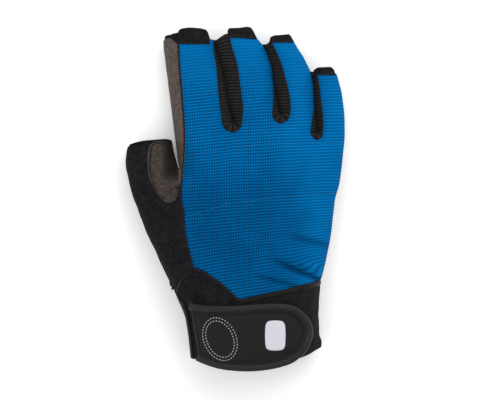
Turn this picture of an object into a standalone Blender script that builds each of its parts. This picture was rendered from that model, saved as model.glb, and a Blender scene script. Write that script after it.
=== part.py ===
"""Half-finger climbing glove for the right hand, filled out and lying palm down.

The fingers point along +Y, the thumb lies toward -X and the back of the hand faces +Z. The whole
glove is one skin, given by two heights above each place in plan: the back and the palm meet at a
middle height along every edge of the hand, and rise or fall with the distance from that edge.
Each sewn panel is a sheet of that skin between two seams, thickened inward.

Tables are in millimetres. A place in plan is measured from the middle of the glove.
"""
import math
from collections import namedtuple

import bmesh
import bpy
from mathutils import Vector
from mathutils.geometry import intersect_point_line

MM = 0.001
COLLECTION = "climbing_glove"

# Thickness of the cloths, and the gap left at a seam
KNIT = 1.3
LEATHER = 1.4
SUEDE = 1.4
RIB = 1.2
BINDING = 1.1
STRAP = 2.0
STRAP_EDGE = 2.8
SEAM = 0.6
HALF_SEAM = SEAM / 2
HALF_UNDER_SEAM = 0.5
LIFT = 0.7
STRAP_TOP = LIFT + STRAP

# Where the seams of the hand lie
KNUCKLE_Y = 28.0
PALM_END_Y = -47.0
GUSSET_X = 2.0
CUFF_RIGHT_X = 45.6
CUFF_BINDING_WIDTH = 3.4
UNDER_LAP = 5.6
UNDER_TURN = 6.0

# Height of the widest line, rise of the back above it, and how far the rounding reaches inward
HEIGHTS = (
    # y, middle, rise, rounding
    (-92.0, 17.0, 19.5, 24.0),
    (-55.0, 17.0, 20.0, 24.0),
    (-30.0, 16.0, 19.5, 23.0),
    (0.0, 14.5, 18.0, 21.0),
    (20.0, 13.0, 16.0, 17.0),
    (40.0, 11.0, 13.5, 13.5),
    (60.0, 9.5, 11.5, 12.5),
    (92.0, 9.0, 10.5, 12.0),
)
THUMB_RISE = ((-50.0, 20.0), (-25.0, 16.0), (0.0, 12.5), (31.0, 10.0))
THUMB_BLEND = (-44.0, -24.0)
UNDER_ROUNDING = 7.0
UNDER_FLATTENING = 0.5
SLOPE_STEP = 0.4

# Soft grooves in the back: the two rows of stitches over the knuckles, and the folds by the wrist
FOLDS = (
    # start x, start y, end x, end y, depth, width
    (-25.8, 22.8, -3.4, 27.1, 0.5, 2.0),
    (-3.4, 27.1, 22.5, 29.7, 0.5, 2.0),
    (22.5, 29.7, 57.0, 29.1, 0.5, 2.0),
    (-25.8, -8.9, -0.6, -2.0, 0.6, 2.0),
    (-0.6, -2.0, 25.9, 1.2, 0.6, 2.0),
    (25.9, 1.2, 53.4, 3.2, 0.8, 2.2),
    (36.0, -8.5, 45.0, -15.4, 1.2, 3.5),
    (31.2, -20.9, 48.1, -25.2, 1.2, 3.0),
    (19.8, -32.3, 34.0, -36.6, 1.4, 2.6),
    (34.0, -36.6, 46.0, -43.4, 2.0, 3.0),
    (11.2, -40.8, 32.0, -45.3, 1.0, 2.4),
)

LEFT_EDGE = (
    # y, x of the thumb side of the outline
    (-86.0, -22.9), (-80.0, -23.5), (-72.6, -24.4), (-66.2, -25.5), (-59.9, -27.5), (-53.5, -30.3),
    (-47.2, -33.0), (-37.6, -37.7), (-28.1, -42.0), (-18.6, -46.7), (-12.2, -49.3), (-5.8, -51.6),
    (0.5, -54.0), (6.9, -55.8), (13.3, -57.3), (19.6, -57.9), (24.0, -57.8), (29.2, -56.4),
)
RIGHT_EDGE = (
    # y, x of the little-finger side of the outline
    (-80.6, 44.2), (-78.5, 45.6), (-76.0, 45.8), (-72.0, 44.8), (-66.0, 44.3), (-52.0, 44.6),
    (-42.9, 45.6), (-31.3, 48.1), (-18.5, 50.3), (-5.8, 51.9), (0.5, 52.7), (6.9, 54.7),
    (13.3, 55.6), (26.0, 57.2), (33.0, 57.9), (44.0, 57.8), (56.3, 56.2), (66.0, 53.9),
)

Gap = namedtuple("Gap", "rows depth")

# Gaps between fingers. The first row of each is the middle of the turn at its foot.
INDEX_MIDDLE = Gap((
    # y, middle line, half width, seam on the left finger, seam on the right finger
    (40.7, -1.5, 0.5, -6.5, 3.3), (47.5, -3.2, 0.5, -7.4, 3.8), (54.0, -4.3, 0.5, -8.4, 3.2),
    (61.0, -5.3, 0.5, -9.0, 2.1), (69.0, -6.6, 0.5, -9.7, 1.1), (76.0, -8.8, 0.5, -10.9, -0.8),
    (81.0, -10.4, 0.5, -11.8, -2.3), (88.0, -11.0, 0.5, -12.2, -3.6),
), 4.9)
MIDDLE_RING = Gap((
    (45.5, 23.6, 0.5, 20.5, 28.2), (50.0, 22.3, 0.5, 20.7, 29.0), (55.0, 21.6, 0.5, 20.6, 28.2),
    (63.0, 20.9, 0.5, 20.0, 26.2), (70.0, 19.8, 0.5, 18.9, 24.4), (77.0, 17.8, 0.5, 16.9, 21.6),
    (82.0, 15.5, 0.5, 14.6, 19.3), (88.0, 12.0, 0.5, 11.1, 16.8),
), 5.2)
RING_LITTLE = Gap((
    (36.0, 43.4, 0.5, 40.5, 46.2), (40.0, 43.0, 0.5, 41.2, 46.1), (48.0, 42.3, 0.5, 41.4, 45.5),
    (55.0, 41.9, 0.5, 41.0, 44.8), (61.5, 41.4, 0.5, 40.5, 44.0), (67.3, 40.0, 0.5, 39.1, 42.4),
    (75.8, 36.3, 0.5, 35.4, 39.0), (84.0, 31.6, 0.5, 30.7, 34.0),
), 4.4)
FINGER_GAPS = (INDEX_MIDDLE, MIDDLE_RING, RING_LITTLE)

# Gap between thumb and hand, whose right side runs on as the outline of the index finger
THUMB_GAP = Gap((
    # y, middle line, half width
    (16.7, -29.8, 0.5), (18.5, -30.3, 0.8), (21.0, -31.2, 1.1), (25.0, -31.8, 1.2),
    (31.6, -32.5, 1.2), (41.9, -33.9, 1.2), (54.6, -36.0, 1.2), (70.5, -37.9, 1.2),
    (80.0, -38.7, 1.2), (88.0, -39.4, 1.2),
), 4.4)

BACK_LEFT_SEAM = (
    # y, x of the seam that ends the blue back on the thumb side
    (-36.2, -22.1), (-28.0, -24.1), (-19.0, -26.0), (-12.0, -26.7), (-5.8, -27.2), (-1.0, -28.2),
    (6.0, -28.4), (13.3, -27.7), (22.8, -26.9), (33.0, -26.6), (42.0, -27.0), (54.6, -28.0),
    (70.5, -29.3), (82.4, -29.9),
)
BACK_LOWER_EDGE = (
    # x, y of the pointed lower edge of the blue back
    (-22.1, -36.4), (-18.0, -37.4), (-10.0, -42.4), (-4.3, -46.9), (0.4, -51.6), (2.4, -52.9),
    (5.5, -52.4), (14.0, -50.5), (30.0, -46.8), (45.4, -43.0),
)
GUSSET_UPPER_EDGE = (
    # x, y where the wrist gusset meets the thumb panel and then the blue back
    (-33.0, -47.8), (-30.7, -45.2), (-28.5, -42.6), (-25.5, -40.0), (-22.3, -38.0), (-18.0, -38.6),
    (-10.0, -43.5), (-4.3, -48.0), (0.5, -53.0), (2.0, -54.2),
)
CUFF_LOWER_EDGE = (
    (-23.0, -84.5), (0.0, -86.8), (20.0, -86.4), (34.0, -84.2), (42.0, -81.4), (46.0, -78.5),
)
PALM_LEFT_SEAM = (
    # y, x of the seam between palm and thumb panel, on the underside
    (-50.0, -26.0), (-36.0, -28.5), (-20.0, -31.0), (0.0, -31.5), (8.0, -30.6), (12.3, -29.8),
)
PATCH_EDGE = (
    # y, x of the sewn edge of the leather on the back of the thumb
    (-1.5, -37.3), (1.1, -39.9), (5.8, -43.6), (12.0, -46.0), (18.0, -46.7), (24.0, -46.6),
    (30.0, -45.0),
)
PATCH_FOOT_Y = -1.5
SIDE_TURN = (
    # angle round the thumb crotch, x and y of the seam
    (-25.0, -27.9, 12.0), (-48.0, -28.7, 6.0), (-66.0, -28.8, 1.6), (-80.0, -28.7, -0.9),
    (-95.0, -32.6, -0.9), (-107.0, -36.6, -0.8), (-122.0, -39.2, 1.5), (-142.0, -42.8, 6.2),
    (-162.0, -45.2, 12.2),
)
THUMB_END_Y = 29.8
THUMB_SPLIT_Y = -26.0
THUMB_OPENING_SLANT = 0.151
THUMB_MIDDLE_X = -45.3
THUMB_SLANT_FROM_Y = 14.0
THUMB_SLANT_REACH = 15.0

STRAP_SECTIONS = (
    # upper x, upper y, lower x, lower y
    (-23.5, -55.1, -20.4, -86.0), (-17.1, -56.2, -15.5, -88.0), (-9.6, -56.6, -8.6, -90.0),
    (-1.2, -56.5, -0.1, -91.1), (7.8, -56.0, 8.9, -91.3), (16.9, -55.4, 17.4, -90.5),
    (24.8, -55.4, 24.5, -89.0), (30.6, -56.5, 30.4, -86.9), (35.4, -59.4, 35.1, -83.5),
    (38.9, -63.3, 38.6, -79.5), (40.7, -67.3, 40.6, -74.7),
)
STRAP_TIP = (41.3, -71.0)
STRAP_BINDING_WIDTH = 3.7
STRAP_TIP_FLAT = 0.8
STRAP_INNER_GAP = 0.8

TABS = {
    # x, lower y, upper y of each pull tab
    "tab_index": ((-37.0, 84.6, 85.8), (-34.0, 84.6, 86.9), (-30.5, 84.6, 88.0), (-29.5, 83.0, 89.6),
                  (-22.4, 83.0, 90.3), (-16.1, 83.0, 89.8), (-14.4, 83.0, 88.0),
                  (-13.4, 83.0, 84.6)),
    "tab_middle": ((-4.0, 85.8, 88.9), (-2.6, 85.8, 90.3), (2.5, 85.8, 90.9), (8.0, 85.8, 91.3),
                   (9.4, 85.8, 90.1), (11.0, 85.8, 87.0)),
    "tab_ring": ((18.0, 83.0, 84.6), (19.5, 83.2, 86.2), (24.3, 83.4, 87.0), (29.0, 83.7, 87.4),
                 (30.0, 83.8, 86.0), (30.5, 83.8, 84.8)),
    "tab_little": ((41.4, 66.0, 67.6), (42.8, 66.0, 69.5), (46.5, 66.0, 69.9), (51.4, 66.0, 70.0),
                   (52.3, 66.0, 68.6), (53.0, 66.0, 66.9)),
}
TIP_Y = {"index": 82.4, "middle": 85.2, "ring": 82.9, "little": 65.4}
SIDE_TIP_Y = 84.0
FOURCHETTES = {
    # gap, and tip of the strip on the left and the right finger
    "fourchette_index_middle": (INDEX_MIDDLE, 84.0, 84.6),
    "fourchette_middle_ring": (MIDDLE_RING, 83.0, 82.4),
    "fourchette_ring_little": (RING_LITTLE, 82.4, 65.2),
}

PIPING_LINE = (
    # y, x of the bead beside the strap's sewn end
    (-84.0, -21.8), (-77.0, -22.7), (-69.0, -23.7), (-61.0, -25.2), (-56.0, -26.4),
)
PIPING_WIDTH = 1.8
PIPING_THICKNESS = 1.2

BADGE_CENTRE = (21.3, -72.3)
BADGE_SIZE = (11.0, 16.0)
BADGE_THICKNESS = 0.6
BADGE_GAP = 0.4

# Linear colours of the cloths
BLUE = (0.0, 0.17, 0.50)
BROWN = (0.115, 0.093, 0.080)
BLACK_SUEDE = (0.017, 0.016, 0.018)
BLACK_RIB = (0.014, 0.013, 0.014)
BLACK_KNIT = (0.016, 0.015, 0.016)
STRAP_BLACK = (0.020, 0.019, 0.020)
BINDING_GREY = (0.038, 0.036, 0.037)
PALE_GREY = (0.56, 0.56, 0.62)


def blend(low, high, share):
    """Value a share of the way from low to high."""
    return low + (high - low) * share


def ease(share):
    """Smooth step from 0 to 1."""
    share = min(max(share, 0.0), 1.0)
    return share * share * (3 - 2 * share)


def read(table, place, column=1):
    """Value of a column on a smooth curve through a table, held beyond its ends."""
    if place <= table[0][0]:
        return table[0][column]
    if place >= table[-1][0]:
        return table[-1][column]
    at = max(row for row in range(len(table) - 1) if table[row][0] <= place)

    def slope(row):
        before = table[max(row - 1, 0)]
        after = table[min(row + 1, len(table) - 1)]
        return (after[column] - before[column]) / (after[0] - before[0])

    span = table[at + 1][0] - table[at][0]
    share = (place - table[at][0]) / span
    square = share * share
    cube = square * share
    return (table[at][column] * (2 * cube - 3 * square + 1)
            + table[at + 1][column] * (3 * square - 2 * cube)
            + slope(at) * span * (cube - 2 * square + share)
            + slope(at + 1) * span * (cube - square))


def gap_distance(gap, x, y):
    """Distance in plan from the side of a gap, or from its rounded foot."""
    centre_y = gap.rows[0][0]
    return math.hypot(x - read(gap.rows, y), min(0.0, y - centre_y)) - read(gap.rows, y, 2)


def round_over(distance, reach):
    """Share of full height at a distance from an edge, on a quarter of an ellipse."""
    share = min(max(distance / reach, 0.0), 1.0)
    return math.sqrt(1 - (1 - share) ** 2)


def roundness(x, y, reach):
    """Share of full height left by all the edges near a place."""
    share = round_over(x - read(LEFT_EDGE, y), reach)
    share *= round_over(read(RIGHT_EDGE, y) - x, reach)
    for gap in (THUMB_GAP,) + FINGER_GAPS:
        share *= round_over(gap_distance(gap, x, y), reach)
    return share


def fold_depth(x, y):
    """Depth of the soft grooves in the back."""
    deepest = 0.0
    place = Vector((x, y))
    for start_x, start_y, end_x, end_y, depth, width in FOLDS:
        start, end = Vector((start_x, start_y)), Vector((end_x, end_y))
        nearest, share = intersect_point_line(place, start, end)
        nearest = start.lerp(end, min(max(share, 0.0), 1.0))
        deepest = max(deepest, depth * math.exp(-((place - nearest).length / width) ** 2))
    return deepest


def back_height(x, y):
    """Height of the back of the glove."""
    middle = read(HEIGHTS, y)
    thumb = read(THUMB_RISE, y)
    low, high = THUMB_BLEND
    rise = blend(thumb, read(HEIGHTS, y, 2), ease((x - low) / (high - low)))
    rise -= fold_depth(x, y)
    return max(middle + rise * roundness(x, y, read(HEIGHTS, y, 3)), middle + HALF_SEAM)


def palm_height(x, y):
    """Height of the palm side, flat on the ground but near the edges."""
    middle = read(HEIGHTS, y)
    drop = (middle + UNDER_FLATTENING) * roundness(x, y, UNDER_ROUNDING)
    return max(min(middle - drop, middle - HALF_SEAM), 0.0)


def on_back(x, y, lift=0.0):
    """Point on the back of the glove, or a lift above it along its normal."""
    if not lift:
        return Vector((x, y, back_height(x, y)))
    step = SLOPE_STEP
    slope_x = (back_height(x + step, y) - back_height(x - step, y)) / (2 * step)
    slope_y = (back_height(x, y + step) - back_height(x, y - step)) / (2 * step)
    normal = Vector((-slope_x, -slope_y, 1.0)).normalized()
    return Vector((x, y, back_height(x, y))) + normal * lift


def lifted_over(x, y, lift, seen_lift):
    """Point at a lift from the back, placed so that its top, at seen_lift, stands over x, y."""
    place = Vector((x, y))
    for _ in range(5):
        top = on_back(place.x, place.y, seen_lift)
        place += Vector((x, y)) - top.xy
    return on_back(place.x, place.y, lift)


def on_palm(x, y):
    """Point on the palm side of the glove."""
    return Vector((x, y, palm_height(x, y)))


def seam_beside(gap, side, y, allowance):
    """Seam beside a gap on the back: side -1 is the left finger and +1 the right."""
    centre_y, line, _, left, right = gap.rows[0]
    if y >= centre_y:
        return read(gap.rows, y, 3 if side < 0 else 4) + side * allowance
    reach = (line - left if side < 0 else right - line) + allowance
    share = min((centre_y - y) / (gap.depth + allowance), 1.0)
    return line + side * reach * math.sqrt(1 - share * share)


def seam_under(gap, side, y, allowance):
    """Seam beside a gap on the palm side."""
    centre_y = gap.rows[0][0]
    reach = read(gap.rows, y, 2) + UNDER_LAP + allowance
    if y < centre_y:
        share = min((centre_y - y) / (UNDER_TURN + allowance), 1.0)
        reach *= math.sqrt(1 - share * share)
    return read(gap.rows, y) + side * reach


def turn_rows(gaps, depths):
    """Rows that follow the round foot of each gap."""
    shares = (0.0, 0.03, 0.14, 0.38, 0.7, 1.0)
    rows = set()
    for gap, depth in zip(gaps, depths):
        foot = gap.rows[0][0] - depth
        rows.update(round(foot + share * depth, 3) for share in shares)
    return sorted(rows)


def spaced(low, high, count):
    """Even steps from low to high, both included."""
    return [blend(low, high, step / count) for step in range(count + 1)]


def make_material(name, colour, roughness):
    material = bpy.data.materials.new(name)
    material.use_nodes = True
    shader = material.node_tree.nodes["Principled BSDF"]
    shader.inputs["Base Color"].default_value = (*colour, 1.0)
    shader.inputs["Roughness"].default_value = roughness
    shader.inputs["Metallic"].default_value = 0.0
    return material


def add_sheet(name, grids, thickness, inside, colour, roughness=0.85):
    """One closed solid from grids of points that share their edges, thickened toward inside."""
    shape = bmesh.new()
    for grid in grids:
        rows = [[shape.verts.new(point * MM) for point in row] for row in grid]
        for lower, upper in zip(rows, rows[1:]):
            for column in range(len(lower) - 1):
                shape.faces.new((lower[column], lower[column + 1], upper[column + 1], upper[column]))
    bmesh.ops.remove_doubles(shape, verts=shape.verts, dist=0.00002)
    bmesh.ops.dissolve_degenerate(shape, edges=shape.edges, dist=0.00001)
    centre = Vector(inside) * MM
    shape.normal_update()
    outward = sum(face.normal.dot(face.calc_center_median() - centre) * face.calc_area()
                  for face in shape.faces)
    if outward < 0:
        bmesh.ops.reverse_faces(shape, faces=shape.faces)
    mesh = bpy.data.meshes.new(name)
    shape.to_mesh(mesh)
    shape.free()
    piece = bpy.data.objects.new(name, mesh)
    bpy.data.collections[COLLECTION].objects.link(piece)
    mesh.materials.append(make_material(name, colour, roughness))
    wall = piece.modifiers.new("wall", "SOLIDIFY")
    wall.thickness = abs(thickness) * MM
    wall.offset = -1.0 if thickness > 0 else 1.0
    mesh.shade_smooth()
    mesh.set_sharp_from_angle(angle=math.radians(50))
    return piece


RAY_SHARES = (
    (0.0, 0.2, 0.4, 0.6, 0.8, 1.0),
    (0.0, 0.16, 0.36, 0.6, 0.82, 0.95, 1.0),
    (0.0, 0.16, 0.36, 0.6, 0.82, 0.95, 1.0),
    (0.0, 0.25, 0.5, 0.75, 0.9, 0.97, 1.0),
)
FINGERS = ("index", "middle", "ring", "little")


def back_bounds(finger, y):
    """Left and right limit of the blue cloth on a finger."""
    if finger == 0:
        left = read(BACK_LEFT_SEAM, y) + HALF_SEAM
    else:
        left = seam_beside(FINGER_GAPS[finger - 1], 1, y, HALF_SEAM)
    if finger == 3:
        right = read(RIGHT_EDGE, y)
    else:
        right = seam_beside(FINGER_GAPS[finger], -1, y, HALF_SEAM)
    return left, right


def palm_bounds(finger, y):
    """Left and right limit of the leather under a finger."""
    if finger == 0:
        foot = THUMB_GAP.rows[0][0] - UNDER_TURN - HALF_UNDER_SEAM
        if y > foot:
            left = seam_under(THUMB_GAP, 1, y, HALF_UNDER_SEAM)
        else:
            left = read(PALM_LEFT_SEAM, y) + HALF_SEAM
    else:
        left = seam_under(FINGER_GAPS[finger - 1], 1, y, HALF_UNDER_SEAM)
    if finger == 3:
        right = read(RIGHT_EDGE, y)
    else:
        right = seam_under(FINGER_GAPS[finger], -1, y, HALF_UNDER_SEAM)
    return left, right


def finger_grids(bounds, place, rows_below_tip):
    """A grid of points for each finger, from the knuckles to its tip."""
    grids = []
    for finger, name in enumerate(FINGERS):
        tip = TIP_Y[name]
        top = rows_below_tip[-1]
        rows = rows_below_tip + spaced(top, tip, max(2, round((tip - top) / 8)))[1:]
        grid = []
        for y in rows:
            left, right = bounds(finger, y)
            grid.append([place(blend(left, right, share), y) for share in RAY_SHARES[finger]])
        grids.append(grid)
    return grids


def hand_shares(bounds):
    """Columns across the whole hand that run on from the fingers at the knuckles."""
    left = bounds(0, KNUCKLE_Y)[0]
    right = bounds(3, KNUCKLE_Y)[1]
    shares = []
    for finger in range(4):
        low, high = bounds(finger, KNUCKLE_Y)
        for share in RAY_SHARES[finger][1 if finger else 0:]:
            shares.append((blend(low, high, share) - left) / (right - left))
    return shares


def add_back_panel():
    depths = [gap.depth + HALF_SEAM for gap in FINGER_GAPS]
    rows = [KNUCKLE_Y] + turn_rows(FINGER_GAPS, depths)
    grids = finger_grids(back_bounds, on_back, rows)
    low_x, high_x = BACK_LOWER_EDGE[0][0], BACK_LOWER_EDGE[-1][0]
    hand = []
    for step in spaced(1.0, 0.0, 12):
        row = []
        for share in hand_shares(back_bounds):
            foot = read(BACK_LOWER_EDGE, blend(low_x, high_x, share))
            y = blend(KNUCKLE_Y, foot, step)
            left = read(BACK_LEFT_SEAM, y) + HALF_SEAM
            row.append(on_back(blend(left, read(RIGHT_EDGE, y), share), y))
        hand.append(row)
    return add_sheet("back_panel", grids + [hand], KNIT, (10, 0, 5), BLUE)


def add_palm_panel():
    depths = [UNDER_TURN + HALF_UNDER_SEAM] * 3
    rows = [KNUCKLE_Y] + turn_rows(FINGER_GAPS, depths)
    grids = finger_grids(palm_bounds, on_palm, rows)
    thumb_rows = turn_rows([THUMB_GAP], [UNDER_TURN + HALF_UNDER_SEAM])
    hand_rows = spaced(PALM_END_Y, thumb_rows[0], 6) + thumb_rows[1:] + [22.0, KNUCKLE_Y]
    hand = []
    for y in hand_rows:
        left, right = palm_bounds(0, y)[0], read(RIGHT_EDGE, y)
        hand.append([on_palm(blend(left, right, share), y) for share in hand_shares(palm_bounds)])
    return add_sheet("palm_panel", grids + [hand], LEATHER, (10, 0, 20), BROWN)


UPPER_SHARES = (1.0, 0.75, 0.45, 0.18, 0.04, 0.0)
LOWER_SHARES = (0.05, 0.2, 0.5, 0.86, 1.0)


def side_wall(stations):
    """Grid round the side of a finger: from the seam above, by the edge, to the seam below."""
    grid = []
    for above, edge, below in stations:
        row = []
        for share in UPPER_SHARES:
            row.append(on_back(blend(edge[0], above[0], share), blend(edge[1], above[1], share)))
        for share in LOWER_SHARES:
            row.append(on_palm(blend(edge[0], below[0], share), blend(edge[1], below[1], share)))
        grid.append(row)
    return grid


def add_fourchette(name, gap, left_tip, right_tip):
    """Ribbed strip between two fingers, down one, round the crotch and up the other."""
    centre_y, line, half, left_seam, right_seam = gap.rows[0]
    stations = []
    for side, tip in ((-1, left_tip), (1, right_tip)):
        wall = []
        for y in spaced(tip, centre_y, max(3, round((tip - centre_y) / 7))):
            wall.append(((seam_beside(gap, side, y, -HALF_SEAM), y),
                         (read(gap.rows, y) + side * read(gap.rows, y, 2), y),
                         (seam_under(gap, side, y, -HALF_UNDER_SEAM), y)))
        stations.append(wall)
    turn = []
    for angle in spaced(math.pi, 2 * math.pi, 8)[1:-1]:
        cosine, sine = math.cos(angle), math.sin(angle)
        reach = (line - left_seam if cosine < 0 else right_seam - line) - HALF_SEAM
        under = half + UNDER_LAP - HALF_UNDER_SEAM
        turn.append(((line + reach * cosine, centre_y + (gap.depth - HALF_SEAM) * sine),
                     (line + half * cosine, centre_y + half * sine),
                     (line + under * cosine, centre_y + (UNDER_TURN - HALF_UNDER_SEAM) * sine)))
    grid = side_wall(stations[0] + turn + stations[1][::-1])
    return add_sheet(name, [grid], RIB, (line, centre_y - 30, 10), BLACK_RIB)


def slanted(x, y):
    """The thumb's rows lean with its opening."""
    share = ease((y - THUMB_SLANT_FROM_Y) / THUMB_SLANT_REACH)
    return y + THUMB_OPENING_SLANT * (x - THUMB_MIDDLE_X) * share


def add_side_panel():
    """Leather from the side of the index finger, round the thumb crotch, onto the thumb."""
    gap = THUMB_GAP
    centre_y, line, half = gap.rows[0]
    stations = []
    for y in spaced(SIDE_TIP_Y, centre_y, 10):
        edge = read(gap.rows, y) + read(gap.rows, y, 2)
        stations.append(((read(BACK_LEFT_SEAM, y) - HALF_SEAM, y), (edge, y),
                         (seam_under(gap, 1, y, -HALF_UNDER_SEAM), y)))
    for degrees, x, y in SIDE_TURN:
        cosine, sine = math.cos(math.radians(degrees)), math.sin(math.radians(degrees))
        under = half + UNDER_LAP - HALF_UNDER_SEAM
        stations.append(((x, y), (line + half * cosine, centre_y + half * sine),
                         (line + under * cosine, centre_y + (UNDER_TURN - HALF_UNDER_SEAM) * sine)))
    for y in spaced(centre_y, THUMB_END_Y, 4):
        edge = read(gap.rows, y) - read(gap.rows, y, 2)
        under = seam_under(gap, -1, y, -HALF_UNDER_SEAM)
        seam = read(PATCH_EDGE, y) + HALF_SEAM
        stations.append(((seam, slanted(seam, y)), (edge, slanted(edge, y)),
                         (under, slanted(under, y))))
    return add_sheet("side_panel", [side_wall(stations)], LEATHER, (-20, 10, 12), BROWN)


def add_thumb_panel():
    """Suede round the outer side of the thumb, down to the wrist."""
    turn = turn_rows([THUMB_GAP], [UNDER_TURN + HALF_UNDER_SEAM])
    foot = turn[0]
    rows = spaced(THUMB_END_Y, turn[-1], 3) + turn[-2::-1] + spaced(6.0, PATCH_FOOT_Y, 2)
    rows += [PATCH_FOOT_Y - 0.9] + spaced(-8.0, THUMB_SPLIT_Y, 3)
    upper_shares = (0.0, 0.2, 0.42, 0.65, 0.85, 0.96, 1.0)
    lower_shares = (0.03, 0.12, 0.35, 0.7, 1.0)
    grid = []
    for y in rows:
        left = read(LEFT_EDGE, y)
        if y < PATCH_FOOT_Y - 0.1:
            above = read(BACK_LEFT_SEAM, y) - HALF_SEAM
        else:
            above = read(PATCH_EDGE, y) - HALF_SEAM
        if y > foot:
            below = seam_under(THUMB_GAP, -1, y, HALF_UNDER_SEAM)
        else:
            below = read(PALM_LEFT_SEAM, y) - HALF_SEAM
        row = [on_back(x, slanted(x, y)) for x in (blend(above, left, s) for s in upper_shares)]
        row += [on_palm(x, slanted(x, y)) for x in (blend(left, below, s) for s in lower_shares)]
        grid.append(row)
    high_x, low_x = GUSSET_UPPER_EDGE[4][0], GUSSET_UPPER_EDGE[0][0]
    split = grid.pop()
    for step in spaced(0.0, 1.0, 4):
        row = []
        for share, top in zip(upper_shares, split):
            x = blend(high_x, low_x, share)
            end = Vector((x, read(GUSSET_UPPER_EDGE, x) + SEAM))
            row.append(on_back(*top.xy.lerp(end, step)))
        for share, top in zip(lower_shares, split[len(upper_shares):]):
            x = blend(low_x, read(PALM_LEFT_SEAM, PALM_END_Y) - HALF_SEAM, share)
            row.append(on_palm(*top.xy.lerp(Vector((x, PALM_END_Y)), step)))
        grid.append(row)
    return add_sheet("thumb_panel", [grid], SUEDE, (-36, 0, 12), BLACK_SUEDE)


def add_wrist_gusset():
    """Suede on the back of the wrist, under the strap's fixed end."""
    shares = (0.0, 0.03, 0.1, 0.22, 0.36, 0.5, 0.64, 0.78, 0.9, 1.0)
    high_x = GUSSET_X - HALF_SEAM
    upper_x, upper_y = GUSSET_UPPER_EDGE[0]
    lower_x, lower_y = CUFF_LOWER_EDGE[0]
    grid = []
    for step in spaced(0.0, 1.0, 6):
        left = read(LEFT_EDGE, blend(upper_y, lower_y, step))
        row = []
        for share in shares:
            upper = read(GUSSET_UPPER_EDGE, blend(upper_x, high_x, share))
            lower = read(CUFF_LOWER_EDGE, blend(lower_x, high_x, share))
            row.append(on_back(blend(left, high_x, share), blend(upper, lower, step)))
        grid.append(row)
    return add_sheet("wrist_gusset", [grid], SUEDE, (5, -70, 10), BLACK_SUEDE)


def add_cuff_band():
    """Knitted cuff: the right part of the back of the wrist and all of its palm side."""
    upper_shares = (0.0, 0.2, 0.4, 0.6, 0.78, 0.92, 0.98, 1.0)
    lower_shares = (0.03, 0.12, 0.3, 0.5, 0.7, 0.88, 0.97, 1.0)
    start = GUSSET_X + HALF_SEAM
    grid = []
    for step in spaced(0.0, 1.0, 5):
        row = []
        for share in upper_shares:
            x = blend(start, CUFF_RIGHT_X, share)
            y = blend(read(BACK_LOWER_EDGE, x) - CUFF_BINDING_WIDTH - 2 * SEAM,
                      read(CUFF_LOWER_EDGE, x), step)
            row.append(on_back(blend(start, read(RIGHT_EDGE, y), share), y))
        for share in lower_shares:
            x = blend(CUFF_RIGHT_X, LEFT_EDGE[0][1], share)
            y = blend(PALM_END_Y - SEAM, read(CUFF_LOWER_EDGE, x), step)
            row.append(on_palm(blend(read(RIGHT_EDGE, y), read(LEFT_EDGE, y), share), y))
        grid.append(row)
    return add_sheet("cuff_band", [grid], LEATHER, (10, -70, 17), BLACK_KNIT)


def add_cuff_binding():
    """Smooth strip sewn between the blue back and the cuff."""
    start = GUSSET_X + HALF_SEAM
    grid = []
    for step in (0.0, 0.5, 1.0):
        row = []
        for share in (0.0, 0.2, 0.4, 0.6, 0.78, 0.92, 0.98, 1.0):
            x = blend(start, CUFF_RIGHT_X, share)
            y = read(BACK_LOWER_EDGE, x) - SEAM - CUFF_BINDING_WIDTH * step
            row.append(on_back(blend(start, read(RIGHT_EDGE, y), share), y))
        grid.append(row)
    return add_sheet("cuff_binding", [grid], BINDING, (20, -50, 5), BINDING_GREY)


def add_tab(name):
    """Pull tab at the back of a finger's opening."""
    finger = name.split("_")[1]
    columns = TABS[name]
    grid = []
    for step in (0.0, 0.5, 1.0):
        row = []
        for x, low, high in columns:
            height = back_height(x, TIP_Y[finger])
            row.append(Vector((x, blend(low, high, step), height)))
        grid.append(row)
    centre_x = (columns[0][0] + columns[-1][0]) / 2
    return add_sheet(name, [grid], SUEDE, (centre_x, columns[0][1], 0), BLACK_SUEDE)


def strap_outline():
    """Strap's outline in plan, from its sewn end along the top, round the tip and back."""
    upper = [Vector(row[:2]) for row in STRAP_SECTIONS]
    lower = [Vector(row[2:]) for row in STRAP_SECTIONS]
    return upper + [Vector(STRAP_TIP)] + lower[::-1]


def inset(points, width):
    """The outline moved inward by a width."""
    moved = []
    for at, point in enumerate(points):
        before = points[max(at - 1, 0)]
        after = points[min(at + 1, len(points) - 1)]
        along = (after - before).normalized()
        moved.append(point + Vector((along.y, -along.x)) * width)
    return moved


def add_strap():
    """Closing strap: a stiff panel inside a rolled binding."""
    outline = strap_outline()
    inner = inset(outline, STRAP_BINDING_WIDTH + STRAP_INNER_GAP)
    inner[0].x, inner[-1].x = outline[0].x, outline[-1].x
    count = len(STRAP_SECTIONS)
    grid = []
    for at in range(count):
        upper, lower = inner[at], inner[-1 - at]
        points = [upper.lerp(lower, share) for share in spaced(0.0, 1.0, 5)]
        grid.append([lifted_over(point.x, point.y, LIFT, STRAP_TOP) for point in points])
    tip = inner[count]
    half = STRAP_TIP_FLAT
    grid.append([lifted_over(tip.x, tip.y + offset, LIFT, STRAP_TOP)
                 for offset in spaced(half, -half, 5)])
    add_sheet("wrist_strap", [grid], -STRAP, (10, -70, 5), STRAP_BLACK, 0.6)


def add_strap_binding():
    outline = strap_outline()
    edge = inset(outline, STRAP_BINDING_WIDTH)
    grid = []
    for outer, inner in zip(outline, edge):
        points = [outer.lerp(inner, share) for share in (0.0, 0.5, 1.0)]
        grid.append([lifted_over(point.x, point.y, LIFT, STRAP_TOP) for point in points])
    add_sheet("strap_binding", [grid], -STRAP_EDGE, (10, -70, 5), BINDING_GREY, 0.7)


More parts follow.
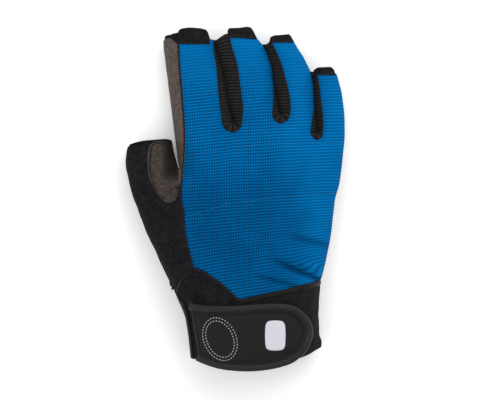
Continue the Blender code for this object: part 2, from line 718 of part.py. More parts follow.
def add_badge():
    """Blank pale label on the strap."""
    width, height = BADGE_SIZE
    middle_x, middle_y = BADGE_CENTRE
    grid = []
    for step in spaced(-0.5, 0.5, 3):
        row = []
        for share in spaced(-0.5, 0.5, 3):
            x, y = middle_x + share * width, middle_y + step * height
            row.append(lifted_over(x, y, STRAP_TOP + BADGE_GAP, STRAP_TOP))
        grid.append(row)
    add_sheet("strap_badge", [grid], -BADGE_THICKNESS, (10, -70, 5), PALE_GREY, 0.6)


def add_side_piping():
    grid = []
    for y in spaced(PIPING_LINE[-1][0], PIPING_LINE[0][0], 6):
        x = read(PIPING_LINE, y)
        half = PIPING_WIDTH / 2
        grid.append([lifted_over(x + offset, y, LIFT, LIFT + PIPING_THICKNESS)
                     for offset in (-half, 0.0, half)])
    add_sheet("side_piping", [grid], -PIPING_THICKNESS, (10, -70, 5), BLACK_SUEDE)


def clear_scene():
    for item in list(bpy.data.objects):
        bpy.data.objects.remove(item, do_unlink=True)
    group = bpy.data.collections.new(COLLECTION)
    bpy.context.scene.collection.children.link(group)


def main():
    clear_scene()
    add_back_panel()
    add_palm_panel()
    for name, (gap, left_tip, right_tip) in FOURCHETTES.items():
        add_fourchette(name, gap, left_tip, right_tip)
    add_side_panel()
    add_thumb_panel()
    add_wrist_gusset()
    add_cuff_band()
    add_cuff_binding()
    for name in TABS:
        add_tab(name)
    add_strap()
    add_strap_binding()
    add_badge()
    add_side_piping()


main()
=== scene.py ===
"""Half-finger climbing glove, palm down: the cloth, leather, stitches and light over the frame.

The skin of the glove is two heights above each place in plan, as in the part's own source, read
here for whole arrays of points. Panels meet at seams whose edges roll inward. Tables are in
millimetres, measured from the middle of the glove in plan.
"""

import math
from collections import namedtuple

import bpy
import numpy as np
from mathutils.kdtree import KDTree
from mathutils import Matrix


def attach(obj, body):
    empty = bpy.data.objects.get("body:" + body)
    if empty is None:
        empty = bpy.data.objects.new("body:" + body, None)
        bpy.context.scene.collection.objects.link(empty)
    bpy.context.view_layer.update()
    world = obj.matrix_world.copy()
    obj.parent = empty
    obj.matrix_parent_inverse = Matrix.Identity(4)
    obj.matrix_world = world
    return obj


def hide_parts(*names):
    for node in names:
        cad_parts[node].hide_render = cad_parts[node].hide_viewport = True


MM = 0.001
WELD = 0.01
HALF_SEAM = -0.15
LIFT = 0.7
STRAP_TOP = 2.7
TAB_LIFT = 0.75
TAB_RIM_X = -31.5
KNUCKLE_Y = 28.0
PALM_END_Y = -47.0
GUSSET_X = 2.0
CUFF_RIGHT_X = 45.6
CUFF_BINDING_WIDTH = 3.4
CUFF_LAP = 1.0
UNDER_LAP = 5.6
UNDER_TURN = 6.0
UNDER_ROUNDING = 7.0
UNDER_FLATTENING = 0.5
SLOPE_STEP = 0.2
RIM_REACH = 8.0
RIB_PITCH = 1.68
STRAP_STEP = 0.7
EDGING_SHIFT = -0.35

# Rough lengths of panels, which only say how many rows and columns they get
BACK_LENGTH = 78.0
CUFF_LENGTH = 34.0
CUFF_WIDTH = 44.0
CUFF_UNDER_WIDTH = 70.0
GUSSET_LENGTH = 40.0
GUSSET_WIDTH = 34.0
THUMB_NECK_LENGTH = 16.0
THUMB_BACK_WIDTH = 19.0
PATCH_WIDTH = 11.0
STRAP_LENGTH = 27.0
TAB_LENGTH = 7.0

HEIGHTS = (
    # y, middle, rise, rounding
    (-92, 17, 19.5, 24), (-55, 17, 20, 24), (-30, 16, 19.5, 23), (0, 14.5, 18, 21), (20, 13, 16, 17),
    (40, 11, 13.5, 13.5), (60, 9.5, 11.5, 12.5), (92, 9, 10.5, 12),
)
THUMB_RISE = ((-50, 20), (-25, 16), (0, 12.5), (31, 10))
THUMB_BLEND = (-44, -24)

FOLDS = (
    # start x, start y, end x, end y, depth, width
    (-25.8, 22.8, -3.4, 27.1, 0.5, 2), (-3.4, 27.1, 22.5, 29.7, 0.5, 2), (22.5, 29.7, 57, 29.1, 0.5, 2),
    (-25.8, -8.9, -0.6, -2, 0.6, 2), (-0.6, -2, 25.9, 1.2, 0.6, 2), (25.9, 1.2, 53.4, 3.2, 0.8, 2.2),
    (36, -9.3, 45, -16.2, 1.2, 3.5), (31.2, -22.2, 48.1, -26.5, 1.4, 2.8), (14, -32, 22, -34.3, 0.5, 1.8),
    (22, -34.3, 34, -38.2, 1.5, 2.4), (34, -38.2, 45.5, -44.3, 3, 2.6), (11.2, -42.1, 32, -46.6, 1, 2),
    (42, -36.3, 48.5, -34.8, 0.8, 1.6),
)
RIDGES = (
    (22, -29.4, 36, -33.6, 0.9, 2.6), (36, -33.6, 47, -40.4, 1.4, 2.4), (27.9, -27.8, 44, -30.8, 0.4, 2.4),
    (14, -38.6, 33, -42.6, 0.7, 2.2),
)
THUMB_WRINKLES = (
    (-32.7, 5.6, -29.6, 6, 1.3, 0.5), (-35.1, 3.9, -32.7, 5.6, 1.3, 0.6),
    (-36.7, 1.7, -35.1, 3.9, 0.8, 0.7), (-33.2, 0.2, -32.6, 3.2, 0.6, 0.4),
    (-31.8, 0.8, -31.2, 3.6, 0.6, 0.4), (-35.2, -0.8, -34.4, 2, 0.5, 0.4),
    (-38.4, 13.4, -33.6, 13.9, 0.5, 1.2),
)
THUMB_RIDGES = (
    (-40, 4.3, -37.1, 6.8, 0.7, 0.9), (-37.1, 6.8, -33.5, 7.8, 0.9, 0.9),
    (-33.4, 4.2, -29.2, 4.6, 0.5, 0.6),
)

LEFT_EDGE = (
    # y, x of the thumb side of the outline
    (-86, -22.9), (-80, -23.5), (-72.6, -24.4), (-66.2, -25.5), (-59.9, -27.5), (-53.5, -30.3),
    (-47.2, -33), (-37.6, -37.7), (-28.1, -42), (-18.6, -46.7), (-12.2, -49.3), (-5.8, -51.6), (0.5, -54),
    (6.9, -55.8), (13.3, -57.3), (19.6, -58), (24, -58.1), (29.2, -57.2),
)
RIGHT_EDGE = (
    # y, x of the little-finger side of the outline
    (-80.6, 44.2), (-78.5, 45.6), (-76, 45.8), (-72, 44.8), (-66, 44.3), (-52, 44.6), (-42.9, 45.6),
    (-31.3, 48.5), (-18.5, 50.9), (-5.8, 52.5), (0.5, 53.3), (6.9, 55.2), (13.3, 56.1), (26, 57.7),
    (33, 58.2), (44, 58.1), (56.3, 56.6), (66, 54.2),
)

Gap = namedtuple("Gap", "rows depth")


def finger_gap(depth, rows):
    """Gap between two fingers, whose sides touch. The first row is the middle of the turn at its foot."""
    return Gap([(y, line, HALF_SEAM, left, right) for y, line, left, right in rows], depth)


INDEX_MIDDLE = finger_gap(5.1, (
    # y, middle line, seam on the left finger, seam on the right finger
    (40.7, -1.1, -6.7, 3.2), (47.5, -2.8, -7.6, 3.9), (54, -4.1, -8.4, 3.3), (61, -5.2, -9, 2.3),
    (69, -7, -9.6, 1.3), (76, -8.9, -10.7, -0.5), (81, -10.3, -11.4, -2.2), (88, -10.9, -11.8, -3.6),
))
MIDDLE_RING = finger_gap(5.2, (
    (45.5, 24, 19.8, 28.8), (50, 22.8, 20.3, 29.1), (55, 21.8, 20.5, 28.4), (60, 20.9, 20.4, 27.5),
    (63, 20.4, 20.1, 26.6), (70, 19.4, 19.2, 24.7), (77, 17.3, 17.1, 22), (80, 15.9, 15.7, 20.4),
    (82, 14.5, 14.3, 19.4), (85.4, 11.7, 11.4, 17.8), (88, 10.9, 10.6, 16.8), (91, 10.3, 10, 16.4),
))
RING_LITTLE = finger_gap(4.4, (
    (36, 43.4, 40.2, 46.2), (40, 43.3, 40.7, 46.3), (48, 42.4, 42, 45.7), (55, 42.1, 41.7, 44.8),
    (61.5, 41.6, 41.2, 44), (67.3, 40.1, 39.9, 42.4), (71.3, 38.3, 38.1, 41), (75.8, 36, 35.8, 39),
    (79.4, 33.6, 33.4, 37), (83.3, 31.4, 31.2, 34.6), (87, 30.2, 30, 33.2),
))
FINGER_GAPS = (INDEX_MIDDLE, MIDDLE_RING, RING_LITTLE)
THUMB_GAP = Gap((
    # y, middle line, half width
    (16.7, -29.9, 0.2), (18.5, -30.4, 0.3), (21, -31, 0.6), (25, -31.8, 0.9), (31.6, -32.7, 0.9),
    (41.9, -33.9, 0.7), (54.6, -35.6, 0.8), (70.5, -37.5, 0.7), (80, -38.7, 0.7), (88, -39.4, 0.7),
), 4.4)
THUMB_CROTCH_Y = THUMB_GAP.rows[0][0]
UNDER_CROTCH_Y = THUMB_CROTCH_Y - UNDER_TURN - HALF_SEAM

BACK_LEFT_SEAM = (
    # y, x of the seam that ends the blue back on the thumb side
    (-36.2, -22.1), (-28, -24.1), (-19, -26), (-12, -26.7), (-5.8, -27.2), (-1, -28.2), (6, -28.4),
    (13.3, -27.7), (22.8, -26.9), (33, -26.6), (42, -27), (54.6, -28), (70.5, -29.3), (82.4, -29.9),
)
BACK_LOWER_EDGE = (
    # x, y of the pointed lower edge of the blue back
    (-22.1, -36.4), (-18, -37.4), (-10, -42.4), (-4.3, -46.9), (0.4, -51.6), (2.4, -52.9), (5.5, -52.4),
    (14, -50.5), (30, -46.8), (45.4, -43),
)
GUSSET_UPPER_EDGE = (
    # x, y where the wrist gusset meets the thumb panel and then the blue back
    (-33, -47.8), (-30.7, -45.2), (-28.5, -42.6), (-25.5, -40), (-22.3, -37), (-18, -37.5), (-10, -42.4),
    (-4.3, -46.9), (0.5, -51.8), (2, -53),
)
CUFF_LOWER_EDGE = (
    (-23, -84.5), (0, -86.8), (20, -86.4), (34, -84.2), (42, -81.4), (46, -78.5),
)
PALM_LEFT_SEAM = (
    # y, x of the seam between palm and thumb panel, on the underside
    (-50, -26), (-36, -28.5), (-20, -31), (0, -31.5), (8, -30.6), (12.3, -29.8),
)
PATCH_EDGE = (
    # y, x of the sewn edge of the leather on the back of the thumb
    (-2.1, -36.7), (-0.4, -38.9), (2.2, -41.1), (7, -43.9), (11.5, -45.8), (16.7, -46.6), (20, -46.8),
    (23, -46.6), (26, -46), (27.4, -45.3), (28.3, -44.3), (29.2, -42.8),
)
PATCH_FOOT_Y = -0.4
PATCH_LAP = 1.3
PATCH_LIFT = 0.5
PATCH_FOOT = (
    # x, y of the suede's edge where it runs under the foot of the leather
    (-37.6, -0.4), (-36, -0.8), (-34.2, -0.6), (-32.6, 0.8), (-31.6, 4), (-30.6, 7.2), (-29.5, 10),
    (-28.2, 12.4),
)
SIDE_TURN = (
    # angle round the thumb crotch, x and y of the seam
    (0, -27.2, 16.7), (22, -27.5, 12.6), (38, -28.1, 9.4), (52, -29.4, 6.2), (66, -30.3, 2.9),
    (80, -31.4, -0.5), (92, -33.9, -2.1), (104, -36.7, -2.1), (116, -38.9, -0.4), (130, -41.1, 2.2),
    (146, -43.9, 7), (163, -45.8, 11.5), (180, -46.6, 16.7),
)
LEATHER_TOP = (
    # x, y of the arched upper end of the leather beside the index finger
    (-38.4, 84.3), (-37.1, 85.2), (-35.9, 85.5), (-34.8, 85.4), (-33.8, 85), (-33, 84.4), (-32.2, 83.6),
    (-31.3, 82.8), (-30.5, 82), (-29.4, 81),
)
THUMB_END_Y = 30.1
THUMB_SPLIT_Y = -26
THUMB_TOP = (
    # x, y of the arched end of the thumb
    (-58, 27), (-57, 28.1), (-55.4, 29.1), (-52.9, 29.9), (-48.9, 30.8), (-42.8, 31.4), (-36.7, 31.8),
    (-34.7, 31.6), (-33.5, 30.9),
)
THUMB_ARCH = (14, 15)

STRAP_SECTIONS = (
    # upper x, upper y, lower x, lower y
    (-23.3, -54.7, -20.3, -85.4), (-17, -55.8, -15.4, -87.4), (-9.5, -56.2, -8.5, -89.4),
    (-1.2, -56.1, -0.1, -90.5), (7.7, -55.6, 8.8, -90.7), (16.8, -55, 17.3, -89.9),
    (24.6, -55, 24.3, -88.4), (30.4, -56.1, 30.2, -86.3), (35.2, -59, 34.9, -82.9),
    (38.6, -62.9, 38.3, -78.9), (40.4, -66.8, 40.3, -74.2),
)
STRAP_TIP = (41, -70.5)
STRAP_BINDING_WIDTH = 3.7
STRAP_BINDING_HEIGHT = 2.4

# Points of a pull tab's upper edge that are its corners, and its seen outline: its lower and upper edge
TAB_CORNERS = {"index": (0, -4), "middle": (2, -4), "ring": (1, -4), "little": (2, -3)}
TABS = {
    "index": (((-37.9, 84.6), (-35.9, 85.5), (-33.8, 85), (-32.2, 83.6), (-30.6, 82),
               (-22, 81.9), (-13.1, 82)),
              ((-37.9, 84.9), (-36.1, 86.3), (-33.2, 87.6), (-30.7, 88.1), (-30.1, 89),
               (-29.4, 89.9), (-27.8, 90.4), (-24.5, 90.8), (-21.6, 90.7), (-17.8, 90.3),
               (-15.3, 89.7), (-14.3, 88.6), (-13.7, 86.9), (-13.1, 85))),
    "middle": (((-4.2, 85.4), (3, 85.3), (11.6, 85)),
               ((-4.2, 89), (-3.9, 89.9), (-2.8, 90.5), (1.6, 90.6), (4.2, 91), (6.8, 91.3),
                (8.6, 90.9), (9.6, 89.6), (11.2, 86.6), (11.6, 85.6))),
    "ring": (((18.1, 82.5), (25.9, 82.9), (31.2, 83.2)),
             ((18.1, 84.7), (18.6, 85.7), (20.6, 86.6), (25.9, 87.1), (28.9, 87.4), (29.8, 86.5),
              (31, 84.3), (31.2, 83.7))),
    "little": (((40.8, 65.7), (47, 65.7), (53.6, 65.7)),
               ((40.7, 66.5), (40.9, 67.5), (41.6, 68.4), (43.5, 69.6), (50.9, 70), (52.5, 68.8),
                (53.6, 66))),
}
FINGERS = ("index", "middle", "ring", "little")
TIP_Y = {"index": 84.8, "middle": 85.7, "ring": 84.2, "little": 66.6}
SIDE_TIP_Y = 84
FOURCHETTES = {
    # gap, tip of the strip on the left and the right finger, and its upper rim as x and y
    "index_middle": (INDEX_MIDDLE, 84.4, 84.4,
                     ((-12.6, 84.5), (-10.4, 84.4), (-9, 85.4), (-5.8, 87.3), (-3.4, 87.8))),
    "middle_ring": (MIDDLE_RING, 82, 82,
                    ((13, 81.9), (15.2, 81.6), (17, 82.2), (18.4, 83.6))),
    "ring_little": (RING_LITTLE, 81.8, 66,
                    ((30, 81.8), (38, 81.8), (40.2, 66.1), (41.6, 68.2), (42.8, 68.9))),
}
PIPING_LINE = (
    # y, x of the bead beside the strap's sewn end
    (-84, -22.5), (-77, -23.2), (-69, -24.2), (-61, -25.7), (-54, -28.3),
)
GUSSET_PIPING = (
    (-22.4, -37.6), (-24.4, -39.2), (-27, -41.2), (-29, -44.2), (-30.2, -47.6), (-30.2, -50.5),
    (-28.8, -54), (-27, -57.5),
)
PATCH_GROOVE = (
    # x, y of the sewn groove inside the leather's edge on the thumb
    (-34.7, 27.1), (-35.9, 28.5), (-38.6, 29.7), (-41, 29.7), (-43.2, 28.8), (-44.4, 27), (-44.8, 23),
    (-45.1, 16.5), (-44.7, 12.9), (-43.6, 8.8), (-42, 5.1), (-39.6, 1.9), (-36.9, -0.5),
)
BADGE_CENTRE = (21.1, -71.8)
BADGE_SIZE = (10.9, 15.9)
RING_CENTRE = (-8, -73.7)
RING_LEAN = math.radians(24)
RING_OUTER = (8.5, 11.7)
RING_INNER = (6.9, 10)


# Reading the tables

def ease(share):
    """Smooth step from 0 to 1."""
    share = np.clip(share, 0.0, 1.0)
    return share * share * (3 - 2 * share)


def read(table, place, column=1):
    """Values of a column on a smooth curve through a table, held beyond its ends."""
    rows = np.array(table, dtype=float)
    keys, values = rows[:, 0], rows[:, column]
    last = len(keys) - 1
    before = np.maximum(np.arange(last + 1) - 1, 0)
    after = np.minimum(np.arange(last + 1) + 1, last)
    slopes = (values[after] - values[before]) / (keys[after] - keys[before])
    place = np.clip(place, keys[0], keys[-1])
    at = np.clip(np.searchsorted(keys, place, side="right") - 1, 0, last - 1)
    span = keys[at + 1] - keys[at]
    share = (place - keys[at]) / span
    square = share * share
    cube = square * share
    return (values[at] * (2 * cube - 3 * square + 1) + values[at + 1] * (3 * square - 2 * cube)
            + slopes[at] * span * (cube - 2 * square + share)
            + slopes[at + 1] * span * (cube - square))


def blend(low, high, share):
    return low + (high - low) * share


def pair(*parts):
    """Points from their coordinates."""
    return np.stack(np.broadcast_arrays(*parts), -1)


def unit(vectors):
    return vectors / np.linalg.norm(vectors, axis=-1, keepdims=True)


def run_of(points):
    """Length along a line at each of its points."""
    return np.concatenate([[0.0], np.cumsum(np.linalg.norm(np.diff(points, axis=0), axis=1))])


# The skin of the glove

def gap_distance(gap, x, y):
    """Distance in plan from the side of a gap, or from its rounded foot."""
    below = np.minimum(0.0, y - gap.rows[0][0])
    return np.hypot(x - read(gap.rows, y), below) - read(gap.rows, y, 2)


def round_over(distance, reach):
    """Share of full height at a distance from an edge, on a quarter of an ellipse."""
    share = np.clip(distance / reach, 0.0, 1.0)
    return np.sqrt(1 - (1 - share) ** 2)


def roundness(x, y, reach):
    share = round_over(x - read(LEFT_EDGE, y), reach)
    share = share * round_over(read(RIGHT_EDGE, y) - x, reach)
    for gap in (THUMB_GAP,) + FINGER_GAPS:
        share = share * round_over(gap_distance(gap, x, y), reach)
    return share


def groove_depth(grooves, x, y):
    """Depth of soft grooves along straight lines in plan."""
    deepest = np.zeros(np.shape(x))
    for start_x, start_y, end_x, end_y, depth, width in grooves:
        along_x, along_y = end_x - start_x, end_y - start_y
        share = ((x - start_x) * along_x + (y - start_y) * along_y) / (along_x ** 2 + along_y ** 2)
        share = np.clip(share, 0.0, 1.0)
        away = np.hypot(x - start_x - share * along_x, y - start_y - share * along_y)
        deepest = np.maximum(deepest, depth * np.exp(-(away / width) ** 2))
    return deepest


def back_height(x, y):
    middle = read(HEIGHTS, y)
    low, high = THUMB_BLEND
    rise = blend(read(THUMB_RISE, y), read(HEIGHTS, y, 2), ease((x - low) / (high - low)))
    rise = rise - groove_depth(FOLDS, x, y) + groove_depth(RIDGES, x, y)
    return np.maximum(middle + rise * roundness(x, y, read(HEIGHTS, y, 3)), middle + 0.05)


def palm_height(x, y):
    middle = read(HEIGHTS, y)
    drop = (middle + UNDER_FLATTENING) * roundness(x, y, UNDER_ROUNDING)
    return np.maximum(np.minimum(middle - drop, middle - 0.05), 0.0)


def on_back(x, y, lift=0.0):
    """Points on the back of the glove, or a lift above it along its normal."""
    points = pair(x, y, back_height(x, y))
    if np.isscalar(lift) and not lift:
        return points
    return points + back_normal(x, y) * np.asarray(lift)[..., None]


def back_normal(x, y):
    step = SLOPE_STEP
    slope_x = (back_height(x + step, y) - back_height(x - step, y)) / (2 * step)
    slope_y = (back_height(x, y + step) - back_height(x, y - step)) / (2 * step)
    return unit(pair(-slope_x, -slope_y, 1.0))


def lifted_over(x, y, lift):
    """Points at a lift from the back, placed so that they stand over x, y."""
    place_x, place_y = x, y
    for _ in range(4):
        points = on_back(place_x, place_y, lift)
        place_x = place_x + (x - points[..., 0])
        place_y = place_y + (y - points[..., 1])
    return on_back(place_x, place_y, lift)


def on_palm(x, y):
    return pair(x, y, palm_height(x, y))


def seam_beside(gap, side, y, allowance=0.0):
    """Seam beside a gap on the back: side -1 is the left finger and +1 the right."""
    centre_y, line, _, left, right = gap.rows[0]
    straight = read(gap.rows, y, 3 if side < 0 else 4) + side * allowance
    reach = (line - left if side < 0 else right - line) + allowance
    share = np.clip((centre_y - y) / (gap.depth + allowance), 0.0, 1.0)
    return np.where(y >= centre_y, straight, line + side * reach * np.sqrt(1 - share * share))


def seam_under(gap, side, y, allowance=0.0):
    """Seam beside a gap on the palm side."""
    reach = read(gap.rows, y, 2) + UNDER_LAP + allowance
    share = np.clip((gap.rows[0][0] - y) / (UNDER_TURN + allowance), 0.0, 1.0)
    return read(gap.rows, y) + side * reach * np.sqrt(1 - share * share)


# Spacing of the points

EDGE_STEPS = np.array((0.0, 0.22, 0.5, 0.9, 1.4, 2.1))
TURN_SHARES = np.array((0.0, 0.006, 0.025, 0.06, 0.11, 0.17, 0.25, 0.35, 0.46, 0.59, 0.72, 0.86, 1.0))
UPPER_FINE = np.array((0.0, 0.03, 0.07, 0.13, 0.2, 0.28, 0.37, 0.46, 0.55, 0.64, 0.72, 0.79, 0.85, 0.9,
                       0.94, 0.97, 0.99, 1.0))
UPPER_COARSE = np.array((0.0, 0.05, 0.12, 0.22, 0.34, 0.47, 0.6, 0.72, 0.82, 0.9, 0.96, 0.99, 1.0))
LOWER_FINE = np.array((0.01, 0.04, 0.1, 0.18, 0.28, 0.4, 0.53, 0.67, 0.82, 0.93, 1.0))


def steps_between(low, high, step):
    """Even values from low to high about one step apart, closer together at both ends."""
    length = high - low
    inner = np.linspace(EDGE_STEPS[-1], length - EDGE_STEPS[-1],
                        max(2, round((length - 2 * EDGE_STEPS[-1]) / step) + 1))
    return low + np.concatenate([EDGE_STEPS[:-1], inner, length - EDGE_STEPS[-2::-1]])


def shares_across(width, step):
    return steps_between(0.0, width, step) / width


def finger_rows(gaps, depths, tip, step):
    """Rows up a finger: they follow the foot of each gap, and lie closer at the tip."""
    turns = []
    for gap, depth in zip(gaps, depths):
        turns += (gap.rows[0][0] - depth + TURN_SHARES * depth).tolist()
    rows = sorted({round(row, 3) for row in turns})
    regular = np.arange(KNUCKLE_Y, tip - EDGE_STEPS[-1], step)
    free = [row for row in regular if min(abs(row - turn) for turn in rows) > 0.45 * step]
    free = [row for row in free if row < tip - EDGE_STEPS[-1] - 0.4]
    return np.array(sorted(set(rows + free)) + list(tip - EDGE_STEPS[::-1]))


# Building pieces

def weld(grids):
    """Points and quads of several grids, with the points that they share made one."""
    points, faces, first = [], [], 0
    for grid in grids:
        rows, columns = grid.shape[:2]
        index = np.arange(rows * columns).reshape(rows, columns) + first
        corners = pair(index[:-1, :-1], index[:-1, 1:], index[1:, 1:], index[1:, :-1])
        faces.append(corners.reshape(-1, 4))
        points.append(grid.reshape(-1, grid.shape[-1]))
        first += rows * columns
    points, faces = np.concatenate(points), np.concatenate(faces)
    keys = np.round(points[:, :3] / WELD).astype(int)
    _, kept, place = np.unique(keys, axis=0, return_index=True, return_inverse=True)
    return points[kept], place.reshape(-1)[faces]


def normals_of(points, faces):
    one, two, three, four = (points[faces[:, corner]] for corner in range(4))
    across = np.cross(three - one, four - two)
    normals = np.zeros_like(points)
    for corner in range(4):
        np.add.at(normals, faces[:, corner], across)
    return normals / np.maximum(np.linalg.norm(normals, axis=1, keepdims=True), 1e-9)


def rim_distance(points, faces):
    """Distance of each point from the nearest open edge of the sheet."""
    sides = np.concatenate([faces[:, [a, (a + 1) % 4]] for a in range(4)])
    sides = np.sort(sides[sides[:, 0] != sides[:, 1]], axis=1)
    edges, uses = np.unique(sides, axis=0, return_counts=True)
    rim = edges[uses == 1]
    samples = np.concatenate([blend(points[rim[:, 0]], points[rim[:, 1]], share)
                              for share in (0.0, 0.25, 0.5, 0.75)])
    tree = KDTree(len(samples))
    for index, sample in enumerate(samples):
        tree.insert(sample, index)
    tree.balance()
    return np.array([tree.find(point)[2] for point in points])


def rolled(distance, depth, reach):
    """Drop of a seam's rolled edge."""
    share = np.clip(1 - distance / reach, 0.0, 1.0)
    return -depth * (1 - np.sqrt(1 - share ** 2))


def ripple(points, size, seed):
    """Soft random unevenness from a few waves, between about -1 and 1."""
    draw = np.random.default_rng(seed)
    total = np.zeros(len(points))
    for _ in range(6):
        wave = draw.normal(size=3) / size
        total += np.sin(points @ wave * 2 * math.pi * 0.6 + draw.uniform(0, 2 * math.pi))
    return total / 3.5


def uneven(depth, size, seed, reach):
    """Relief of soft unevenness, which fades toward a panel's rim."""
    return lambda points, distance: depth * ripple(points[:, :3], size, seed) * ease(distance / reach)


def link(name, mesh, material, nodes=()):
    """A new piece from a mesh, which stands for CAD nodes."""
    mesh.materials.append(material)
    piece = bpy.data.objects.new(name, mesh)
    bpy.context.scene.collection.objects.link(piece)
    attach(piece, "root")
    if nodes:
        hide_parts(*nodes)
    return piece


def make_mesh(name, points, faces, weave=None):
    faces = [list(dict.fromkeys(face)) for face in faces.tolist()]
    mesh = bpy.data.meshes.new(name)
    mesh.from_pydata((points * MM).tolist(), [], [face for face in faces if len(face) > 2])
    mesh.validate()
    if weave is not None:
        corners = np.empty(len(mesh.loops), dtype=int)
        mesh.loops.foreach_get("vertex_index", corners)
        layer = mesh.uv_layers.new(name="weave")
        layer.data.foreach_set("uv", weave[corners].astype(np.float32).ravel())
    mesh.shade_smooth()
    return mesh


def add_panel(name, grids, thickness, inside, material, nodes=(), roll=0.8, reach=1.5,
              relief=None):
    """A sheet of cloth with rolled edges, thickened toward the inside."""
    points, faces = weld(grids)
    place = points[:, :3]
    normals = normals_of(place, faces)
    if np.sum(normals * (place - np.array(inside, float))) < 0:
        faces, normals = faces[:, ::-1], -normals
    distance = rim_distance(place, faces)
    offset = rolled(distance, roll, reach)
    if relief:
        offset = offset + relief(points, distance)
    place = place + normals * offset[:, None]
    place[:, 2] = np.maximum(place[:, 2], 0.0)
    weave = points[:, 3:5] if points.shape[1] > 3 else points[:, :2]
    mesh = make_mesh(name, place, faces, weave)
    piece = link(name, mesh, material, nodes)
    wall = piece.modifiers.new("wall", "SOLIDIFY")
    wall.thickness = thickness * MM
    wall.offset = -1.0


# Materials

class Graph:
    """Short way to wire the nodes of a material."""

    def __init__(self, name, roughness, sheen=0.0, tint=(1.0, 1.0, 1.0), specular=0.15):
        self.material = bpy.data.materials.new(name)
        self.material.use_nodes = True
        self.tree = self.material.node_tree
        self.shader = self.tree.nodes["Principled BSDF"]
        self.shader.inputs["Roughness"].default_value = roughness
        self.shader.inputs["Specular IOR Level"].default_value = specular
        self.shader.inputs["Sheen Weight"].default_value = sheen
        self.shader.inputs["Sheen Roughness"].default_value = 0.5
        self.shader.inputs["Sheen Tint"].default_value = (*tint, 1.0)

    def put(self, value, socket):
        if isinstance(value, bpy.types.NodeSocket):
            self.tree.links.new(value, socket)
        else:
            socket.default_value = value

    def add(self, kind, output, inputs, **settings):
        node = self.tree.nodes.new(kind)
        for key, value in settings.items():
            setattr(node, key, value)
        for key, value in inputs.items():
            self.put(value, node.inputs[key])
        return node.outputs[output]

    def math(self, operation, *values):
        return self.add("ShaderNodeMath", 0, dict(enumerate(values)), operation=operation)

    def times(self, value, factor, plus=0.0):
        return self.math("MULTIPLY_ADD", value, factor, plus)

    def mix(self, share, low, high):
        node = self.tree.nodes.new("ShaderNodeMix")
        node.data_type = "RGBA"
        self.put(share, node.inputs[0])
        self.put(low, node.inputs[6])
        self.put(high, node.inputs[7])
        return node.outputs[2]

    def place(self):
        """Position on the object, in millimetres."""
        here = self.add("ShaderNodeTexCoord", "Object", {})
        return self.add("ShaderNodeVectorMath", 0, {0: here, 1: (1 / MM,) * 3}, operation="MULTIPLY")

    def split(self, place):
        node = self.tree.nodes.new("ShaderNodeSeparateXYZ")
        self.put(place, node.inputs[0])
        return node.outputs

    def weave_place(self):
        across, along, _ = self.split(self.add("ShaderNodeUVMap", 0, {}, uv_map="weave"))
        return across, along

    def ramp(self, value, low, high, first=0.0, last=1.0):
        """Smooth change from first to last as a value goes from low to high."""
        return self.add("ShaderNodeMapRange", 0, {0: value, 1: low, 2: high, 3: first, 4: last},
                        interpolation_type="SMOOTHSTEP")

    def noise(self, place, scale, detail=2.0, distortion=0.0):
        return self.add("ShaderNodeTexNoise", 0, {"Vector": place, "Scale": scale, "Detail": detail,
                                                  "Distortion": distortion})

    def cells(self, place, scale):
        return self.add("ShaderNodeTexVoronoi", "Distance", {"Vector": place, "Scale": scale})

    def wave(self, place, pitch):
        """Rounded ridges across a coordinate, from 0 in a groove to 1 on a crest."""
        turn = self.times(place, 2 * math.pi / pitch)
        return self.times(self.math("COSINE", turn), 0.5, 0.5)

    def bump(self, height, distance, strength=1.0, normal=None):
        inputs = {"Height": height, "Distance": distance * MM, "Strength": strength}
        if normal is not None:
            inputs["Normal"] = normal
        return self.add("ShaderNodeBump", 0, inputs)

    def finish(self, colour, normal=None, roughness=None):
        self.put(colour, self.shader.inputs["Base Color"])
        if normal is not None:
            self.put(normal, self.shader.inputs["Normal"])
        if roughness is not None:
            self.put(roughness, self.shader.inputs["Roughness"])
        return self.material


def rgb(red, green, blue):
    return (red, green, blue, 1.0)


def crease(graph, x, y, start, slope, width, strength):
    """Shade along a straight line in plan that grows from its start toward the right."""
    line = graph.times(graph.math("SUBTRACT", x, start[0]), slope, start[1])
    away = graph.math("ABSOLUTE", graph.math("SUBTRACT", y, line))
    return graph.times(graph.ramp(away, 0.2 * width, width, 1.0, 0.0),
                       graph.ramp(x, start[0] - 4.0, start[0] + 9.0, 0.0, strength))


